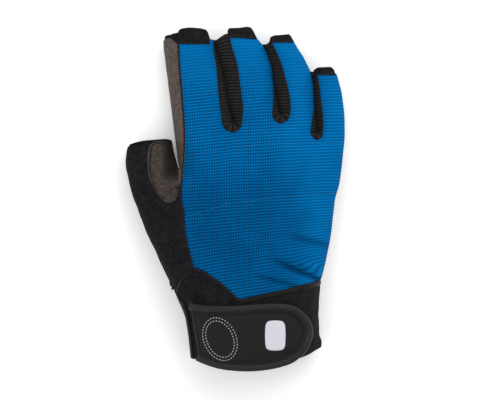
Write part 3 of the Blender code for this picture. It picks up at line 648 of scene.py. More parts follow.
def blue_cloth():
    """Ribs across the hand, with finer lines along it that fade toward the little finger, and painted shade
    over the lower back and its folds.
    """
    graph = Graph("blue_cloth", 0.8, specular=0.01)
    place = graph.place()
    x, y, _ = graph.split(place)
    across, along = graph.weave_place()
    waver = graph.times(graph.noise(place, 0.06), 1.2, -0.6)
    ribs = graph.wave(graph.math("ADD", along, waver), 1.64)
    lines = graph.wave(graph.math("ADD", across, waver), 1.29)
    fade = graph.ramp(across, 14.0, 38.0, 0.9, 0.1)
    rows = graph.ramp(across, 10.0, 38.0, 0.48, 0.62)
    soft = graph.ramp(y, 48.0, 80.0, 1.0, 0.55)
    lines = graph.times(graph.math("SUBTRACT", 1.0, lines), fade)
    holes = graph.math("SUBTRACT", 1.0, ribs)
    holes = graph.times(holes, graph.times(lines, 0.45, rows))
    holes = graph.times(graph.times(lines, 0.32, holes), soft)
    height = graph.math("SUBTRACT", 1.0, holes)
    grain = graph.noise(place, 1.6, 3.0)
    share = graph.times(height, 0.9, graph.times(grain, 0.2))
    colour = graph.mix(share, rgb(0.0002, 0.022, 0.080), rgb(0.0006, 0.155, 0.425))
    # Painted light and shade: darkest over the lower middle of the back, a little lighter at its lower
    # point, lightest over the fingers and toward the little-finger side.
    lit = graph.math("MAXIMUM", graph.ramp(y, 0.0, 32.0), graph.ramp(x, 26.0, 44.0, 0.0, 0.85))
    shade = graph.times(lit, -0.36, graph.ramp(y, -52.0, -26.0, 0.24, 0.37))
    patchy = graph.ramp(graph.noise(place, 0.05, 3.0), 0.35, 0.65, 0.0, 0.12)
    colour = graph.mix(graph.math("ADD", shade, patchy), colour, rgb(0.0002, 0.012, 0.045))
    # Painted shade along the folds on the lower right of the back.
    painted_fold_shade = 0.0
    for fold in (((21.2, -32.8), -0.42, 2.6, 0.62), ((11.0, -40.2), -0.28, 1.8, 0.38),
                 ((27.3, -18.8), -0.26, 2.8, 0.35)):
        painted_fold_shade = graph.math("MAXIMUM", painted_fold_shade, crease(graph, x, y, *fold))
    colour = graph.mix(painted_fold_shade, colour, rgb(0.0002, 0.008, 0.03))
    return graph.finish(colour, graph.bump(grain, 0.1, 0.3, graph.bump(height, 0.2, 0.6)))


def leather():
    """Mottled leather with small pores, darker on the side of the thumb, with painted shade toward the thumb
    crotch.
    """
    graph = Graph("brown_leather", 0.8, 0.03, (1.0, 0.85, 0.75), 0.08)
    place = graph.place()
    pores = graph.cells(place, 1.5)
    grain = graph.noise(place, 1.7, 4.0)
    mottle = graph.noise(place, 0.55, 5.0, 0.4)
    share = graph.times(mottle, 0.9, graph.times(grain, 0.9))
    colour = graph.mix(graph.ramp(share, 0.55, 1.25), rgb(0.040, 0.031, 0.027), rgb(0.124, 0.100, 0.089))
    x, y, z = graph.split(place)
    # The upper thumb side is darker; painted shade deepens it toward the thumb crotch and along a wrinkle.
    facing = graph.times(graph.math("SUBTRACT", y, 14.0), 0.145, x)
    thumb = graph.times(graph.ramp(facing, -30.4, -29.7, 1.0, 0.0), graph.ramp(z, 9.0, 13.0))
    side = graph.times(graph.ramp(x, -44.5, -34.6), graph.ramp(y, 3.5, 14.0, 0.1, 1.0))
    # Painted shade along a curved wrinkle near the thumb crotch.
    bend = graph.math("POWER", graph.math("ADD", x, 30.0), 2.0)
    away = graph.math("ABSOLUTE", graph.math("SUBTRACT", y, graph.times(bend, -0.09, 6.0)))
    painted_wrinkle_shade = graph.times(graph.ramp(away, 0.15, 0.8, 0.9, 0.0), graph.ramp(x, -37.5, -34.5))
    shade = graph.math("MAXIMUM", graph.math("MAXIMUM", side, painted_wrinkle_shade), 0.52)
    colour = graph.mix(graph.times(thumb, shade), colour, rgb(0.0095, 0.0076, 0.0066))
    normal = graph.bump(grain, 0.25, 0.8, graph.bump(pores, 0.12, 0.5))
    return graph.finish(colour, normal, graph.times(grain, 0.2, 0.62))


def suede():
    """Short nap: fine noise with brushed patches and a soft sheen."""
    graph = Graph("black_suede", 0.95, 0.02, (0.8, 0.8, 0.9), 0.06)
    place = graph.place()
    nap = graph.noise(place, 2.2, 4.0)
    tufts = graph.noise(place, 0.8, 3.0)
    brushed = graph.noise(place, 0.2, 4.0, 1.2)
    share = graph.times(brushed, 0.45, graph.times(nap, 0.35))
    share = graph.times(tufts, 0.45, share)
    colour = graph.mix(graph.ramp(share, 0.42, 0.82), rgb(0.0026, 0.0025, 0.0031),
                       rgb(0.0145, 0.0142, 0.0168))
    return graph.finish(colour, graph.bump(nap, 0.22, 0.7, graph.bump(tufts, 0.35, 0.6)))


def rib_knit():
    """Knit with ribs across the strip, with painted shade between them."""
    graph = Graph("black_rib_knit", 0.85, 0.04, (0.85, 0.85, 0.9), 0.1)
    place = graph.place()
    _, along = graph.weave_place()
    crest = graph.wave(along, RIB_PITCH)
    yarn = graph.noise(place, 2.6, 3.0)
    dots = graph.cells(place, 1.3)
    share = graph.times(yarn, 0.4, graph.times(dots, 0.45))
    # Painted shade: the colour falls to near black in the grooves between the ribs.
    share = graph.times(share, graph.times(crest, 0.92, 0.08))
    colour = graph.mix(share, rgb(0.0015, 0.0015, 0.0015), rgb(0.056, 0.050, 0.049))
    return graph.finish(colour, graph.bump(dots, 0.3, 0.9))


def loop_cloth():
    """Brushed loops in wavy bands."""
    graph = Graph("black_loop_cloth", 0.95, 0.03, (0.9, 0.85, 0.82), 0.04)
    place = graph.place()
    bands = graph.noise(place, 0.42, 4.0, 3.5)
    loops = graph.cells(place, 1.4)
    height = graph.times(loops, 0.5, bands)
    colour = graph.mix(graph.ramp(height, 0.4, 0.95), rgb(0.0008, 0.0007, 0.0007),
                       rgb(0.017, 0.0155, 0.015))
    return graph.finish(colour, graph.bump(height, 0.6))


def coated():
    """Smooth coated synthetic with a fine pebble and faint rubbed patches."""
    graph = Graph("strap_skin", 0.55, specular=0.14)
    place = graph.place()
    pebble = graph.cells(place, 1.9)
    cloud = graph.noise(place, 0.12, 4.0, 0.3)
    rubbed = graph.ramp(graph.noise(place, 0.5, 4.0), 0.55, 0.75, 0.0, 0.35)
    colour = graph.mix(cloud, rgb(0.005, 0.0048, 0.005), rgb(0.009, 0.0085, 0.009))
    colour = graph.mix(rubbed, colour, rgb(0.016, 0.0155, 0.016))
    return graph.finish(colour, graph.bump(pebble, 0.08, 0.5), graph.times(cloud, 0.2, 0.45))


def tape(name, low, high, specular=0.24):
    """Smooth woven tape with a fine twill."""
    graph = Graph(name, 0.5, 0.02, specular=specular)
    place = graph.place()
    x, y, _ = graph.split(place)
    twill = graph.wave(graph.math("ADD", x, y), 0.7)
    soft = graph.noise(place, 0.35, 4.0)
    lint = graph.ramp(graph.noise(place, 2.0, 3.0), 0.5, 0.8, 0.0, 0.5)
    colour = graph.mix(graph.math("ADD", soft, lint), low, high)
    return graph.finish(colour, graph.bump(soft, 0.3, 0.5, graph.bump(twill, 0.08, 0.5)))


def thread(name, colour, roughness=0.6):
    graph = Graph(name, roughness, 0.03, specular=0.2)
    fibre = graph.noise(graph.place(), 3.0, 2.0)
    dark = tuple(value * 0.6 for value in colour[:3]) + (1.0,)
    return graph.finish(graph.mix(fibre, dark, colour), graph.bump(fibre, 0.08, 0.5))


def printed_label():
    graph = Graph("pale_badge", 0.55)
    speck = graph.noise(graph.place(), 2.5, 3.0)
    colour = graph.mix(speck, rgb(0.48, 0.48, 0.53), rgb(0.62, 0.62, 0.68))
    return graph.finish(colour, graph.bump(speck, 0.05, 0.4))


# The panels

def across_weave(grid):
    """Grid of points with its place in the weave: above the wrist the ribs rise to the right."""
    x, y = grid[..., 0], grid[..., 1]
    rise = 0.05 + 0.11 * ease((8.0 - y) / 50.0)
    rise = rise + 0.05 * ease((2.0 - x) / 14.0) * ease((y - 8.0) / 12.0)
    fold = np.exp(-((y + 33.5 + 0.42 * (x - 22.0)) / 6.0) ** 2)
    sag = rise * (5.0 - x) + 0.3 * np.clip(x - 22.0, 0.0, None) * fold
    lean = np.zeros_like(x)
    for gap in FINGER_GAPS:
        middle = np.exp(-((x - read(gap.rows, y)) / 14.0) ** 2)
        lean = lean + (read(gap.rows, y) - gap.rows[0][1]) * middle
    return np.concatenate([grid, pair(x - lean, y + sag)], -1)


def row_bounds(finger, y, thumb_side, beside):
    """Both ends of a finger's row, from the seam on the thumb side and those beside a gap."""
    left = beside(FINGER_GAPS[finger - 1], 1, y, HALF_SEAM) if finger > 0 else thumb_side
    right = beside(FINGER_GAPS[finger], -1, y, HALF_SEAM) if finger < 3 else read(RIGHT_EDGE, y)
    return left, right


def back_bounds(finger, y):
    return row_bounds(finger, y, read(BACK_LEFT_SEAM, y) + HALF_SEAM, seam_beside)


def palm_bounds(finger, y):
    left = np.where(y > UNDER_CROTCH_Y, seam_under(THUMB_GAP, 1, y, HALF_SEAM),
                    read(PALM_LEFT_SEAM, y) + HALF_SEAM)
    return row_bounds(finger, y, left, seam_under)


def finger_grids(bounds, place, depths, step):
    """A grid for each finger, and the columns of the hand that run on from them."""
    knuckle = np.array(KNUCKLE_Y)
    low_x, high_x = float(bounds(0, knuckle)[0]), float(bounds(3, knuckle)[1])
    grids, columns = [], []
    for finger, name in enumerate(FINGERS):
        left, right = bounds(finger, knuckle)
        shares = shares_across(float(right - left), step)
        columns += list((blend(left, right, shares) - low_x) / (high_x - low_x))
        rows = finger_rows(FINGER_GAPS, depths, TIP_Y[name], step)[:, None]
        left, right = bounds(finger, rows)
        grids.append(place(blend(left, right, shares), rows))
    return grids, np.unique(np.round(columns, 9))


def add_back():
    depths = [gap.depth + HALF_SEAM for gap in FINGER_GAPS]
    grids, columns = finger_grids(back_bounds, on_back, depths, 1.0)
    foot = read(BACK_LOWER_EDGE, blend(BACK_LOWER_EDGE[0][0], BACK_LOWER_EDGE[-1][0], columns))
    y = blend(foot, KNUCKLE_Y, shares_across(BACK_LENGTH, 1.0)[:, None])
    grids.append(on_back(blend(back_bounds(0, y)[0], read(RIGHT_EDGE, y), columns), y))
    soft = uneven(0.12, 9.0, 4, 3.0)

    def relief(points, distance):
        """Unevenness; the rim isn't rolled where a finger's side turns out of sight."""
        x, y = points[:, 0], points[:, 1]
        turned = 0.0
        for gap, start in ((MIDDLE_RING, 60.0), (RING_LITTLE, 52.0)):
            beside = read(gap.rows, y) - x
            turned = turned + ease((y - start) / 6.0) * (beside > -0.5) * ease((3.5 - beside) / 2.0)
        return soft(points, distance) - rolled(distance, 0.8, 1.5) * turned

    add_panel("blue_back", [across_weave(grid) for grid in grids], 1.2, (10, 0, 5), blue_cloth(),
              ("back_panel",), relief=relief)


def add_palm(material):
    grids, columns = finger_grids(palm_bounds, on_palm, [UNDER_TURN + HALF_SEAM] * 3, 1.6)
    rows = np.concatenate([steps_between(PALM_END_Y, UNDER_CROTCH_Y - 0.5, 1.8),
                           blend(UNDER_CROTCH_Y, THUMB_CROTCH_Y, TURN_SHARES),
                           np.linspace(THUMB_CROTCH_Y + 0.8, KNUCKLE_Y, 7)])[:, None]
    grids.append(on_palm(blend(palm_bounds(0, rows)[0], read(RIGHT_EDGE, rows), columns), rows))

    def relief(points, distance):
        return -0.25 * (ripple(points[:, :3], 16.0, 61) + 1.1) * ease(distance / 6.0)

    add_panel("leather_palm", grids, 1.3, (10, 0, 20), material,
              ("palm_panel",), roll=0.5, reach=1.2, relief=relief)


def wall(above, edge, below, shares, rim, tip):
    """Grid round the side of a finger: from the seam above, by the edge, to the seam below.

    Rows near the tip follow an upper rim.
    """
    top = blend(edge[:, None], above[:, None], 1 - shares[:, None])
    foot = blend(edge[:, None], below[:, None], LOWER_FINE[:, None])
    rise = np.interp(top[..., 0], *np.array(rim).T) - tip
    top[..., 1] += rise * ease((top[..., 1] - tip + RIM_REACH) / RIM_REACH)
    return np.concatenate([on_back(top[..., 0], top[..., 1]), on_palm(foot[..., 0], foot[..., 1])], 1)


def with_run(grid):
    """Grid with the length along one of its columns, and the share across, as its weave place."""
    run = run_of(grid[:, grid.shape[1] // 3, :3])
    return np.concatenate([grid, pair(np.linspace(0.0, 20.0, grid.shape[1]), run[:, None])], -1)


def side_lines(gap, side, y, seam, clear=0.0):
    """Seam above, edge and seam below on one side of a gap, at rows of y."""
    edge = read(gap.rows, y) + side * (read(gap.rows, y, 2) + clear)
    return [pair(x, y) for x in (seam, edge, seam_under(gap, side, y, -HALF_SEAM))]


def foot_lines(gap, angle, seam):
    """The same three lines round the foot of a gap."""
    centre_y, line, half = gap.rows[0][:3]
    cosine, sine = np.cos(angle), np.sin(angle)
    under = half + UNDER_LAP - HALF_SEAM
    return [seam, pair(line + half * cosine, centre_y + half * sine),
            pair(line + under * cosine, centre_y + (UNDER_TURN - HALF_SEAM) * sine)]


def add_fourchette(name, gap, left_tip, right_tip, rim, material):
    """Ribbed strip between two fingers, down one, round the crotch and up the other."""
    centre_y, line, _, left_seam, right_seam = gap.rows[0]
    walls = []
    for side, tip, far_tip in ((-1, left_tip, right_tip), (1, right_tip, left_tip)):
        y = np.linspace(tip, centre_y, round((tip - centre_y) / 0.32) + 1)
        walls.append(side_lines(gap, side, y, seam_beside(gap, side, y, -HALF_SEAM),
                                0.35 * ease((y - far_tip) / 3.0)))
    angle = np.linspace(math.pi, 2 * math.pi, 34)[1:-1]
    cosine, sine = np.cos(angle), np.sin(angle)
    reach = np.where(cosine < 0, line - left_seam, right_seam - line) - HALF_SEAM
    turn = foot_lines(gap, angle,
                      pair(line + reach * cosine, centre_y + (gap.depth - HALF_SEAM) * sine))
    lines = [np.concatenate([down, foot, up[::-1]]) for down, foot, up in zip(walls[0], turn, walls[1])]
    tips = np.where(np.arange(len(lines[0])) < len(walls[0][0]), left_tip, right_tip)
    grid = wall(*lines, UPPER_FINE, rim, tips[:, None])

    def relief(points, distance):
        """Ribs across the strip, fading at its seams and where its two sides meet."""
        crest = 0.5 + 0.5 * np.cos(2 * math.pi * points[:, 4] / RIB_PITCH)
        away = points[:, 0] - read(gap.rows, points[:, 1])
        fade = ease((distance - 0.7) / 0.8) * ease((np.abs(away) - 0.3) / 1.4)
        plain = 0.15 if gap is INDEX_MIDDLE else 0.7
        return -0.5 * (1 - crest ** 0.7) * fade * np.where(away < 0, plain, 1.0)

    add_panel("ribbed_" + name, [with_run(grid)], 0.9, (line, centre_y - 30, 10), material,
              ("fourchette_" + name,), roll=0.5, reach=0.9, relief=relief)


def slanted(x, y):
    """The thumb's rows follow its arched end."""
    start, reach = THUMB_ARCH
    return y + (read(THUMB_TOP, x) - THUMB_END_Y) * ease((y - start) / reach)


def add_side(material):
    """Leather from the side of the index finger, round the thumb crotch, onto the thumb."""
    gap = THUMB_GAP
    y = SIDE_TIP_Y - steps_between(0.0, SIDE_TIP_Y - THUMB_CROTCH_Y, 1.0)
    finger = side_lines(gap, 1, y, read(BACK_LEFT_SEAM, y) - HALF_SEAM)
    degrees = np.linspace(0.0, 180.0, 72)[1:-1]
    turn = foot_lines(gap, -np.radians(degrees),
                      pair(read(SIDE_TURN, degrees), read(SIDE_TURN, degrees, 2)))
    y = steps_between(THUMB_CROTCH_Y, THUMB_END_Y, 0.8)
    thumb = [pair(line[:, 0], slanted(line[:, 0], y))
             for line in side_lines(gap, -1, y, read(PATCH_EDGE, y))]
    lines = [np.concatenate(parts) for parts in zip(finger, turn, thumb)]
    soft = uneven(0.12, 7.0, 8, 3.0)

    def relief(points, distance):
        x, y, z = points[:, 0], points[:, 1], points[:, 2]
        on_thumb = (x < read(gap.rows, y)) | (y < THUMB_CROTCH_Y)
        patch = on_thumb * ease((-28.6 - x) / 1.6) * ease((z - read(HEIGHTS, y) - 1.0) / 3.0)
        border = PATCH_LIFT * np.exp(-(distance / 3.5) ** 2) - 0.45 * np.exp(-((distance - 1.7) / 0.45) ** 2)
        wrinkles = groove_depth(THUMB_RIDGES, x, y) - groove_depth(THUMB_WRINKLES, x, y)
        return (border + wrinkles) * patch + soft(points, distance)

    grid = wall(*lines, UPPER_COARSE, LEATHER_TOP, SIDE_TIP_Y)
    add_panel("leather_side", [grid], 1.3, (-20, 10, 12), material,
              ("side_panel",), roll=0.7, reach=1.0, relief=relief)


def add_thumb(material):
    """Suede round the outer side of the thumb, down to the wrist."""
    patch, upper = shares_across(PATCH_WIDTH, 0.7), shares_across(THUMB_BACK_WIDTH, 0.8)
    foot_y = PATCH_FOOT_Y
    rows = (THUMB_END_Y - steps_between(0.0, THUMB_END_Y - foot_y, 0.9))[:, None]
    left = read(LEFT_EDGE, rows)
    below = np.where(rows > UNDER_CROTCH_Y, seam_under(THUMB_GAP, -1, rows, HALF_SEAM),
                     read(PALM_LEFT_SEAM, rows) - HALF_SEAM)
    x = blend(read(PATCH_EDGE, rows) + PATCH_LAP, left, upper)
    under_x = blend(left, below, LOWER_FINE)
    top = np.concatenate([on_back(x, slanted(x, rows)), on_palm(under_x, slanted(under_x, rows))], 1)

    rows = (foot_y - steps_between(0.0, foot_y - THUMB_SPLIT_Y, 0.9))[:, None]
    left, seam = read(LEFT_EDGE, rows), read(BACK_LEFT_SEAM, rows) - HALF_SEAM
    ratio = float((read(PATCH_EDGE, foot_y) + PATCH_LAP - left[0, 0]) / (seam[0, 0] - left[0, 0]))
    middle = blend(left, seam, ratio)
    near = blend(seam, middle, patch)
    near_y = rows + ((np.interp(near[:1], *np.array(PATCH_FOOT).T) - foot_y)
                     * ease((rows - foot_y + 9.0) / 9.0))
    near = near + (read(BACK_LEFT_SEAM, near_y) - HALF_SEAM - seam) * (1 - patch)
    under_x = blend(left, read(PALM_LEFT_SEAM, rows) - HALF_SEAM, LOWER_FINE)
    body = np.concatenate([on_back(near, near_y), on_back(blend(middle, left, upper), rows),
                           on_palm(under_x, rows)], 1)

    columns = np.concatenate([blend(1.0, ratio, patch), blend(ratio, 0.0, upper)])
    start_x = GUSSET_UPPER_EDGE[0][0]
    end_x = blend(start_x, GUSSET_UPPER_EDGE[4][0], columns)
    under_x = blend(start_x, float(read(PALM_LEFT_SEAM, PALM_END_Y)) - HALF_SEAM, LOWER_FINE)
    end = np.concatenate([pair(end_x, read(GUSSET_UPPER_EDGE, end_x) + 2 * HALF_SEAM),
                          pair(under_x, PALM_END_Y)])
    plan = blend(body[-1, :, :2], end, shares_across(THUMB_NECK_LENGTH, 0.9)[:, None, None])
    high, low = plan[:, :len(columns)], plan[:, len(columns):]
    neck = np.concatenate([on_back(high[..., 0], high[..., 1]), on_palm(low[..., 0], low[..., 1])], 1)
    add_panel("suede_thumb", [top, body, neck], 1.3, (-36, 0, 12), material,
              ("thumb_panel",), roll=0.7, relief=uneven(0.18, 11.0, 15, 4.0))


def add_gusset(material):
    """Suede on the back of the wrist, under the strap's fixed end."""
    high_x = GUSSET_X - HALF_SEAM
    (upper_x, upper_y), (lower_x, lower_y) = GUSSET_UPPER_EDGE[0], CUFF_LOWER_EDGE[0]
    steps, shares = shares_across(GUSSET_LENGTH, 1.0)[:, None], shares_across(GUSSET_WIDTH, 0.9)
    left = read(LEFT_EDGE, blend(upper_y, lower_y, steps))
    upper = read(GUSSET_UPPER_EDGE, blend(upper_x, high_x, shares)) - HALF_SEAM
    lower = read(CUFF_LOWER_EDGE, blend(lower_x, high_x, shares))
    grid = on_back(blend(left, high_x, shares), blend(upper, lower, steps))
    soft = uneven(0.2, 10.0, 22, 3.0)

    def relief(points, distance):
        """Unevenness; the left rim isn't rolled, because the palm side goes on from it."""
        outer = ease((read(LEFT_EDGE, points[:, 1]) + 2.5 - points[:, 0]) / 1.5)
        return soft(points, distance) - rolled(distance, 0.6, 1.5) * outer

    add_panel("suede_wrist", [grid], 1.3, (5, -70, 10), material,
              ("wrist_gusset",), roll=0.6, relief=relief)


def add_cuff(material):
    """Loop cloth: the right part of the back of the wrist and all of its palm side."""
    start = GUSSET_X + HALF_SEAM
    steps, upper = shares_across(CUFF_LENGTH, 1.0)[:, None], shares_across(CUFF_WIDTH, 1.0)
    lower = shares_across(CUFF_UNDER_WIDTH, 1.6)[1:]
    x = blend(start, CUFF_RIGHT_X, upper)
    y = blend(read(BACK_LOWER_EDGE, x) - CUFF_BINDING_WIDTH - 3 * HALF_SEAM,
              read(CUFF_LOWER_EDGE, x), steps)
    back = on_back(blend(start, read(RIGHT_EDGE, y), upper), y)
    x = blend(CUFF_RIGHT_X, LEFT_EDGE[0][1], lower)
    y = blend(PALM_END_Y + CUFF_LAP, read(CUFF_LOWER_EDGE, x), steps)
    palm = on_palm(blend(read(RIGHT_EDGE, y), read(LEFT_EDGE, y), lower), y)
    add_panel("loop_cuff", [np.concatenate([back, palm], 1)], 1.4, (10, -70, 17), material,
              ("cuff_band",), roll=0.6, relief=uneven(0.22, 3.5, 31, 2.0))


def add_cuff_binding(material):
    """Smooth strip sewn between the blue back and the cuff."""
    start, shares = GUSSET_X + HALF_SEAM, shares_across(CUFF_WIDTH, 0.8)
    y = (read(BACK_LOWER_EDGE, blend(start, CUFF_RIGHT_X, shares)) - 2 * HALF_SEAM
         - CUFF_BINDING_WIDTH * np.linspace(0.0, 1.0, 13)[:, None])
    grid = on_back(blend(start, read(RIGHT_EDGE, y), shares), y)

    def relief(points, distance):
        return 0.25 * ease(distance / 1.4) + 0.05 * ripple(points[:, :3], 4.0, 36)

    add_panel("cuff_tape", [grid], 1.0, (20, -50, 5), material,
              ("cuff_binding",), roll=0.6, reach=1.0, relief=relief)


def along_line(points, shares):
    """Points at shares of the length of a line through the given ones."""
    points = np.array(points, float)
    run = run_of(points)
    return pair(*(np.interp(shares * run[-1], run, axis) for axis in points.T))


def add_tab(finger, material):
    """Pull tab over the end of a finger's back, arched with it, in rows between its four sides."""
    lower, upper = TABS[finger]
    first, last = TAB_CORNERS[finger]
    last += len(upper)
    across = shares_across(lower[-1][0] - lower[0][0], 0.5)
    up = shares_across(TAB_LENGTH, 0.6)
    foot, head = along_line(lower, across)[None], along_line(upper[first:last + 1], across)[None]
    left = along_line(lower[:1] + upper[:first + 1], up)[:, None]
    right = along_line(lower[-1:] + upper[last:][::-1], up)[:, None]
    across, up = across[:, None], up[:, None, None]
    plan = (blend(foot, head, up) + blend(left, right, across)
            - blend(blend(foot[:, :1], foot[:, -1:], across), blend(head[:, :1], head[:, -1:], across), up))
    x, y = plan[..., 0], plan[..., 1]
    grid = lifted_over(x, y, blend(0.3, TAB_LIFT, ease((x - TAB_RIM_X) / 1.5)))
    add_panel("pull_tab_" + finger, [grid], 1.6, ((x[0, 0] + x[0, -1]) / 2, y[0, 0], 0), material,
              ("tab_" + finger,), roll=0.4, reach=0.7, relief=uneven(0.12, 5.0, 40, 1.5))


# Strap

def smooth_line(points, step):
    """Points about a step apart on a smooth curve through the given ones."""
    points = np.array(points, float)
    run = run_of(points)
    place = np.linspace(0.0, run[-1], max(3, round(run[-1] / step) + 1))
    return pair(*(read(pair(run, axis), place) for axis in points.T))


def strap_line(inset=0.0):
    """Line round the strap, at an inset from its outline."""
    upper = [row[:2] for row in STRAP_SECTIONS]
    lower = [row[2:] for row in STRAP_SECTIONS]
    line = smooth_line(upper + [STRAP_TIP] + lower[::-1], STRAP_STEP)
    along = unit(np.gradient(line, axis=0))
    return line + pair(along[:, 1], -along[:, 0]) * inset


def add_strap(material):
    """Panel of the closing strap, slightly domed, with a pressed line inside its binding."""
    inner = strap_line(STRAP_BINDING_WIDTH - 1.3)
    half = (len(inner) + 1) // 2
    plan = blend(inner[:half, None], inner[::-1][:half, None], shares_across(STRAP_LENGTH, 0.8)[:, None])
    grid = lifted_over(plan[..., 0], plan[..., 1], STRAP_TOP)

    def relief(points, distance):
        pressed = -0.4 * np.exp(-((distance - 2.6) / 0.45) ** 2)
        dome = 0.35 * ease((distance - 2.4) / 5.0)
        disc = -0.3 * ease((1.0 - ring_place(points[:, 0], points[:, 1], RING_INNER)) / 0.12)
        return pressed + dome + disc + 0.12 * ripple(points[:, :3], 12.0, 52)

    add_panel("strap_face", [grid], 1.9, (10, -70, 5), material,
              ("wrist_strap",), roll=0.2, reach=1.0, relief=relief)


def tube_grid(centre, side, up, half_width, half_height, sides=14, square=0.8):
    """Rounded bead along a line: half sizes may change along it. Its ends are closed."""
    turn = np.linspace(0.0, 2 * math.pi, sides + 1)
    cosine, sine = np.cos(turn), np.sin(turn)
    ring_x = np.sign(cosine) * np.abs(cosine) ** square
    ring_y = np.sign(sine) * np.abs(sine) ** square
    half_width, half_height = (np.broadcast_to(half, len(centre))[:, None, None]
                               for half in (half_width, half_height))
    grid = (centre[:, None] + side[:, None] * ring_x[:, None] * half_width
            + up[:, None] * ring_y[:, None] * half_height)
    ends = [np.repeat(centre[at][None, None], sides + 1, 1) for at in (0, -1)]
    return np.concatenate([ends[0], grid, ends[1]])


def add_tubes(name, grids, material, nodes=()):
    points, faces = weld(grids)
    mesh = make_mesh(name, points, faces[:, ::-1], points[:, :2])
    return link(name, mesh, material, nodes)


def add_strap_binding(material):
    """Rolled tape round the strap's edge."""
    rise = LIFT + STRAP_BINDING_HEIGHT / 2
    outer, inner = (lifted_over(*strap_line(inset).T, rise) for inset in (0.0, STRAP_BINDING_WIDTH))
    middle, across = (outer + inner) / 2, unit(inner - outer)
    half = np.linalg.norm(inner - outer, axis=1) / 2
    up = unit(np.cross(across, np.gradient(middle, axis=0)))
    up *= np.sign(up[:, 2:])
    run = np.arange(len(middle)) * STRAP_STEP
    pucker = 1.0 + 0.03 * np.sin(run * 2.1) + 0.02 * np.sin(run * 0.83 + 1.0)
    grid = tube_grid(middle, across, up, half, STRAP_BINDING_HEIGHT / 2 * pucker)
    add_tubes("strap_edge", [grid], material, ("strap_binding",))


def add_badge(material):
    """Blank pale label on the strap, with rounded corners."""
    across = np.linspace(-1.0, 1.0, 23)
    x, y = np.meshgrid(across, across)
    plan = []
    for here, other, pinch, centre, size in zip((x, y), (y, x), (0.10, 0.07), BADGE_CENTRE, BADGE_SIZE):
        round_here = here * (1 - pinch * other ** 8) * (1 - 0.5 * other ** 2 * here ** 6) ** 0.15
        plan.append(centre + round_here * size / 2)
    add_panel("strap_label", [lifted_over(*plan, STRAP_TOP + 0.75)], 0.5, (10, -70, 5), material,
              ("strap_badge",), roll=0.25, reach=0.6)


# Stitches and beads

def ring_point(turn, half_axes):
    x, y = half_axes[0] * np.cos(turn), half_axes[1] * np.sin(turn)
    cosine, sine = math.cos(RING_LEAN), math.sin(RING_LEAN)
    return pair(RING_CENTRE[0] + x * cosine - y * sine, RING_CENTRE[1] + x * sine + y * cosine)


def ring_place(x, y, half_axes):
    """1 on the ring, less inside it."""
    x, y = x - RING_CENTRE[0], y - RING_CENTRE[1]
    cosine, sine = math.cos(RING_LEAN), math.sin(RING_LEAN)
    return np.hypot((x * cosine + y * sine) / half_axes[0], (y * cosine - x * sine) / half_axes[1])


def frame_along(line, x, y):
    """Directions to the side of a line over the back at x, y, and up from it."""
    up = back_normal(x, y)
    return np.cross(unit(np.gradient(line, axis=-2)), up), up


def add_stitches(name, lines, material, length, pitch, radius, lift, arch, closed=False):
    """Separate thread stitches along lines in plan, on the back of the glove."""
    sides, rings = 7, 7
    turn = np.linspace(0.0, 2 * math.pi, sides, endpoint=False)[:, None]
    along = np.linspace(-1.0, 1.0, rings)
    thick = np.sqrt(np.clip(1 - np.abs(along) ** 3, 0.02, 1.0))[:, None, None]
    ring, side = np.divmod(np.arange((rings - 1) * sides), sides)
    near, after = ring * sides, (side + 1) % sides
    quad = pair(near + side, near + after, near + sides + after, near + sides + side)
    all_points, all_faces, first = [], [], 0
    for line in lines:
        plan = smooth_line(line, 0.25)
        run = run_of(lifted_over(plan[:, 0], plan[:, 1], lift))
        if closed:
            count = round(run[-1] / pitch)
            starts = np.arange(count) * run[-1] / count
            spots = (starts[:, None] + along * length / 2) % run[-1]
        else:
            count = max(1, int((run[-1] - length) // pitch) + 1)
            start = (run[-1] - (count - 1) * pitch) / 2
            spots = np.clip(start + np.arange(count)[:, None] * pitch + along * length / 2, 0.0, run[-1])
        x, y = (np.interp(spots, run, axis) for axis in plan.T)
        spine = lifted_over(x, y, lift + arch * (1 - along ** 2))
        across, up = frame_along(spine, x, y)
        points = (spine[:, :, None] + radius * thick
                  * (across[:, :, None] * np.cos(turn) + up[:, :, None] * np.sin(turn)))
        all_points.append(points.reshape(-1, 3))
        all_faces.append((quad + first + np.arange(count)[:, None, None] * rings * sides).reshape(-1, 4))
        first += count * rings * sides
    mesh = make_mesh(name, np.concatenate(all_points), np.concatenate(all_faces))
    link(name, mesh, material)


def seam_line(table, low, high, shift=0.0, swap=False):
    """Line in plan along a table of y and x, or of x and y when swapped."""
    place = np.linspace(low, high, max(3, round(abs(high - low) / 2)))
    other = read(table, place) + shift
    return pair(place, other) if swap else pair(other, place)


def bead_grid(line, half_width, half_height, lift, sides=10):
    """Bead along a line in plan, on the back of the glove."""
    x, y = smooth_line(line, 0.5).T
    centre = lifted_over(x, y, lift)
    return tube_grid(centre, *frame_along(centre, x, y), half_width, half_height, sides, 1.0)


def gap_seam(gap, side, tip):
    """Line just outside the seam beside a gap, from the tip down to the foot of the crotch."""
    centre_y, line, _, left, right = gap.rows[0]
    rows = np.linspace(tip, centre_y, 18)
    angle = np.linspace(0.0, math.pi / 2, 8)[1:]
    reach = (line - left if side < 0 else right - line) + EDGING_SHIFT
    turn = pair(line + side * reach * np.cos(angle),
                centre_y - (gap.depth + EDGING_SHIFT) * np.sin(angle))
    return np.concatenate([pair(seam_beside(gap, side, rows, EDGING_SHIFT), rows), turn])


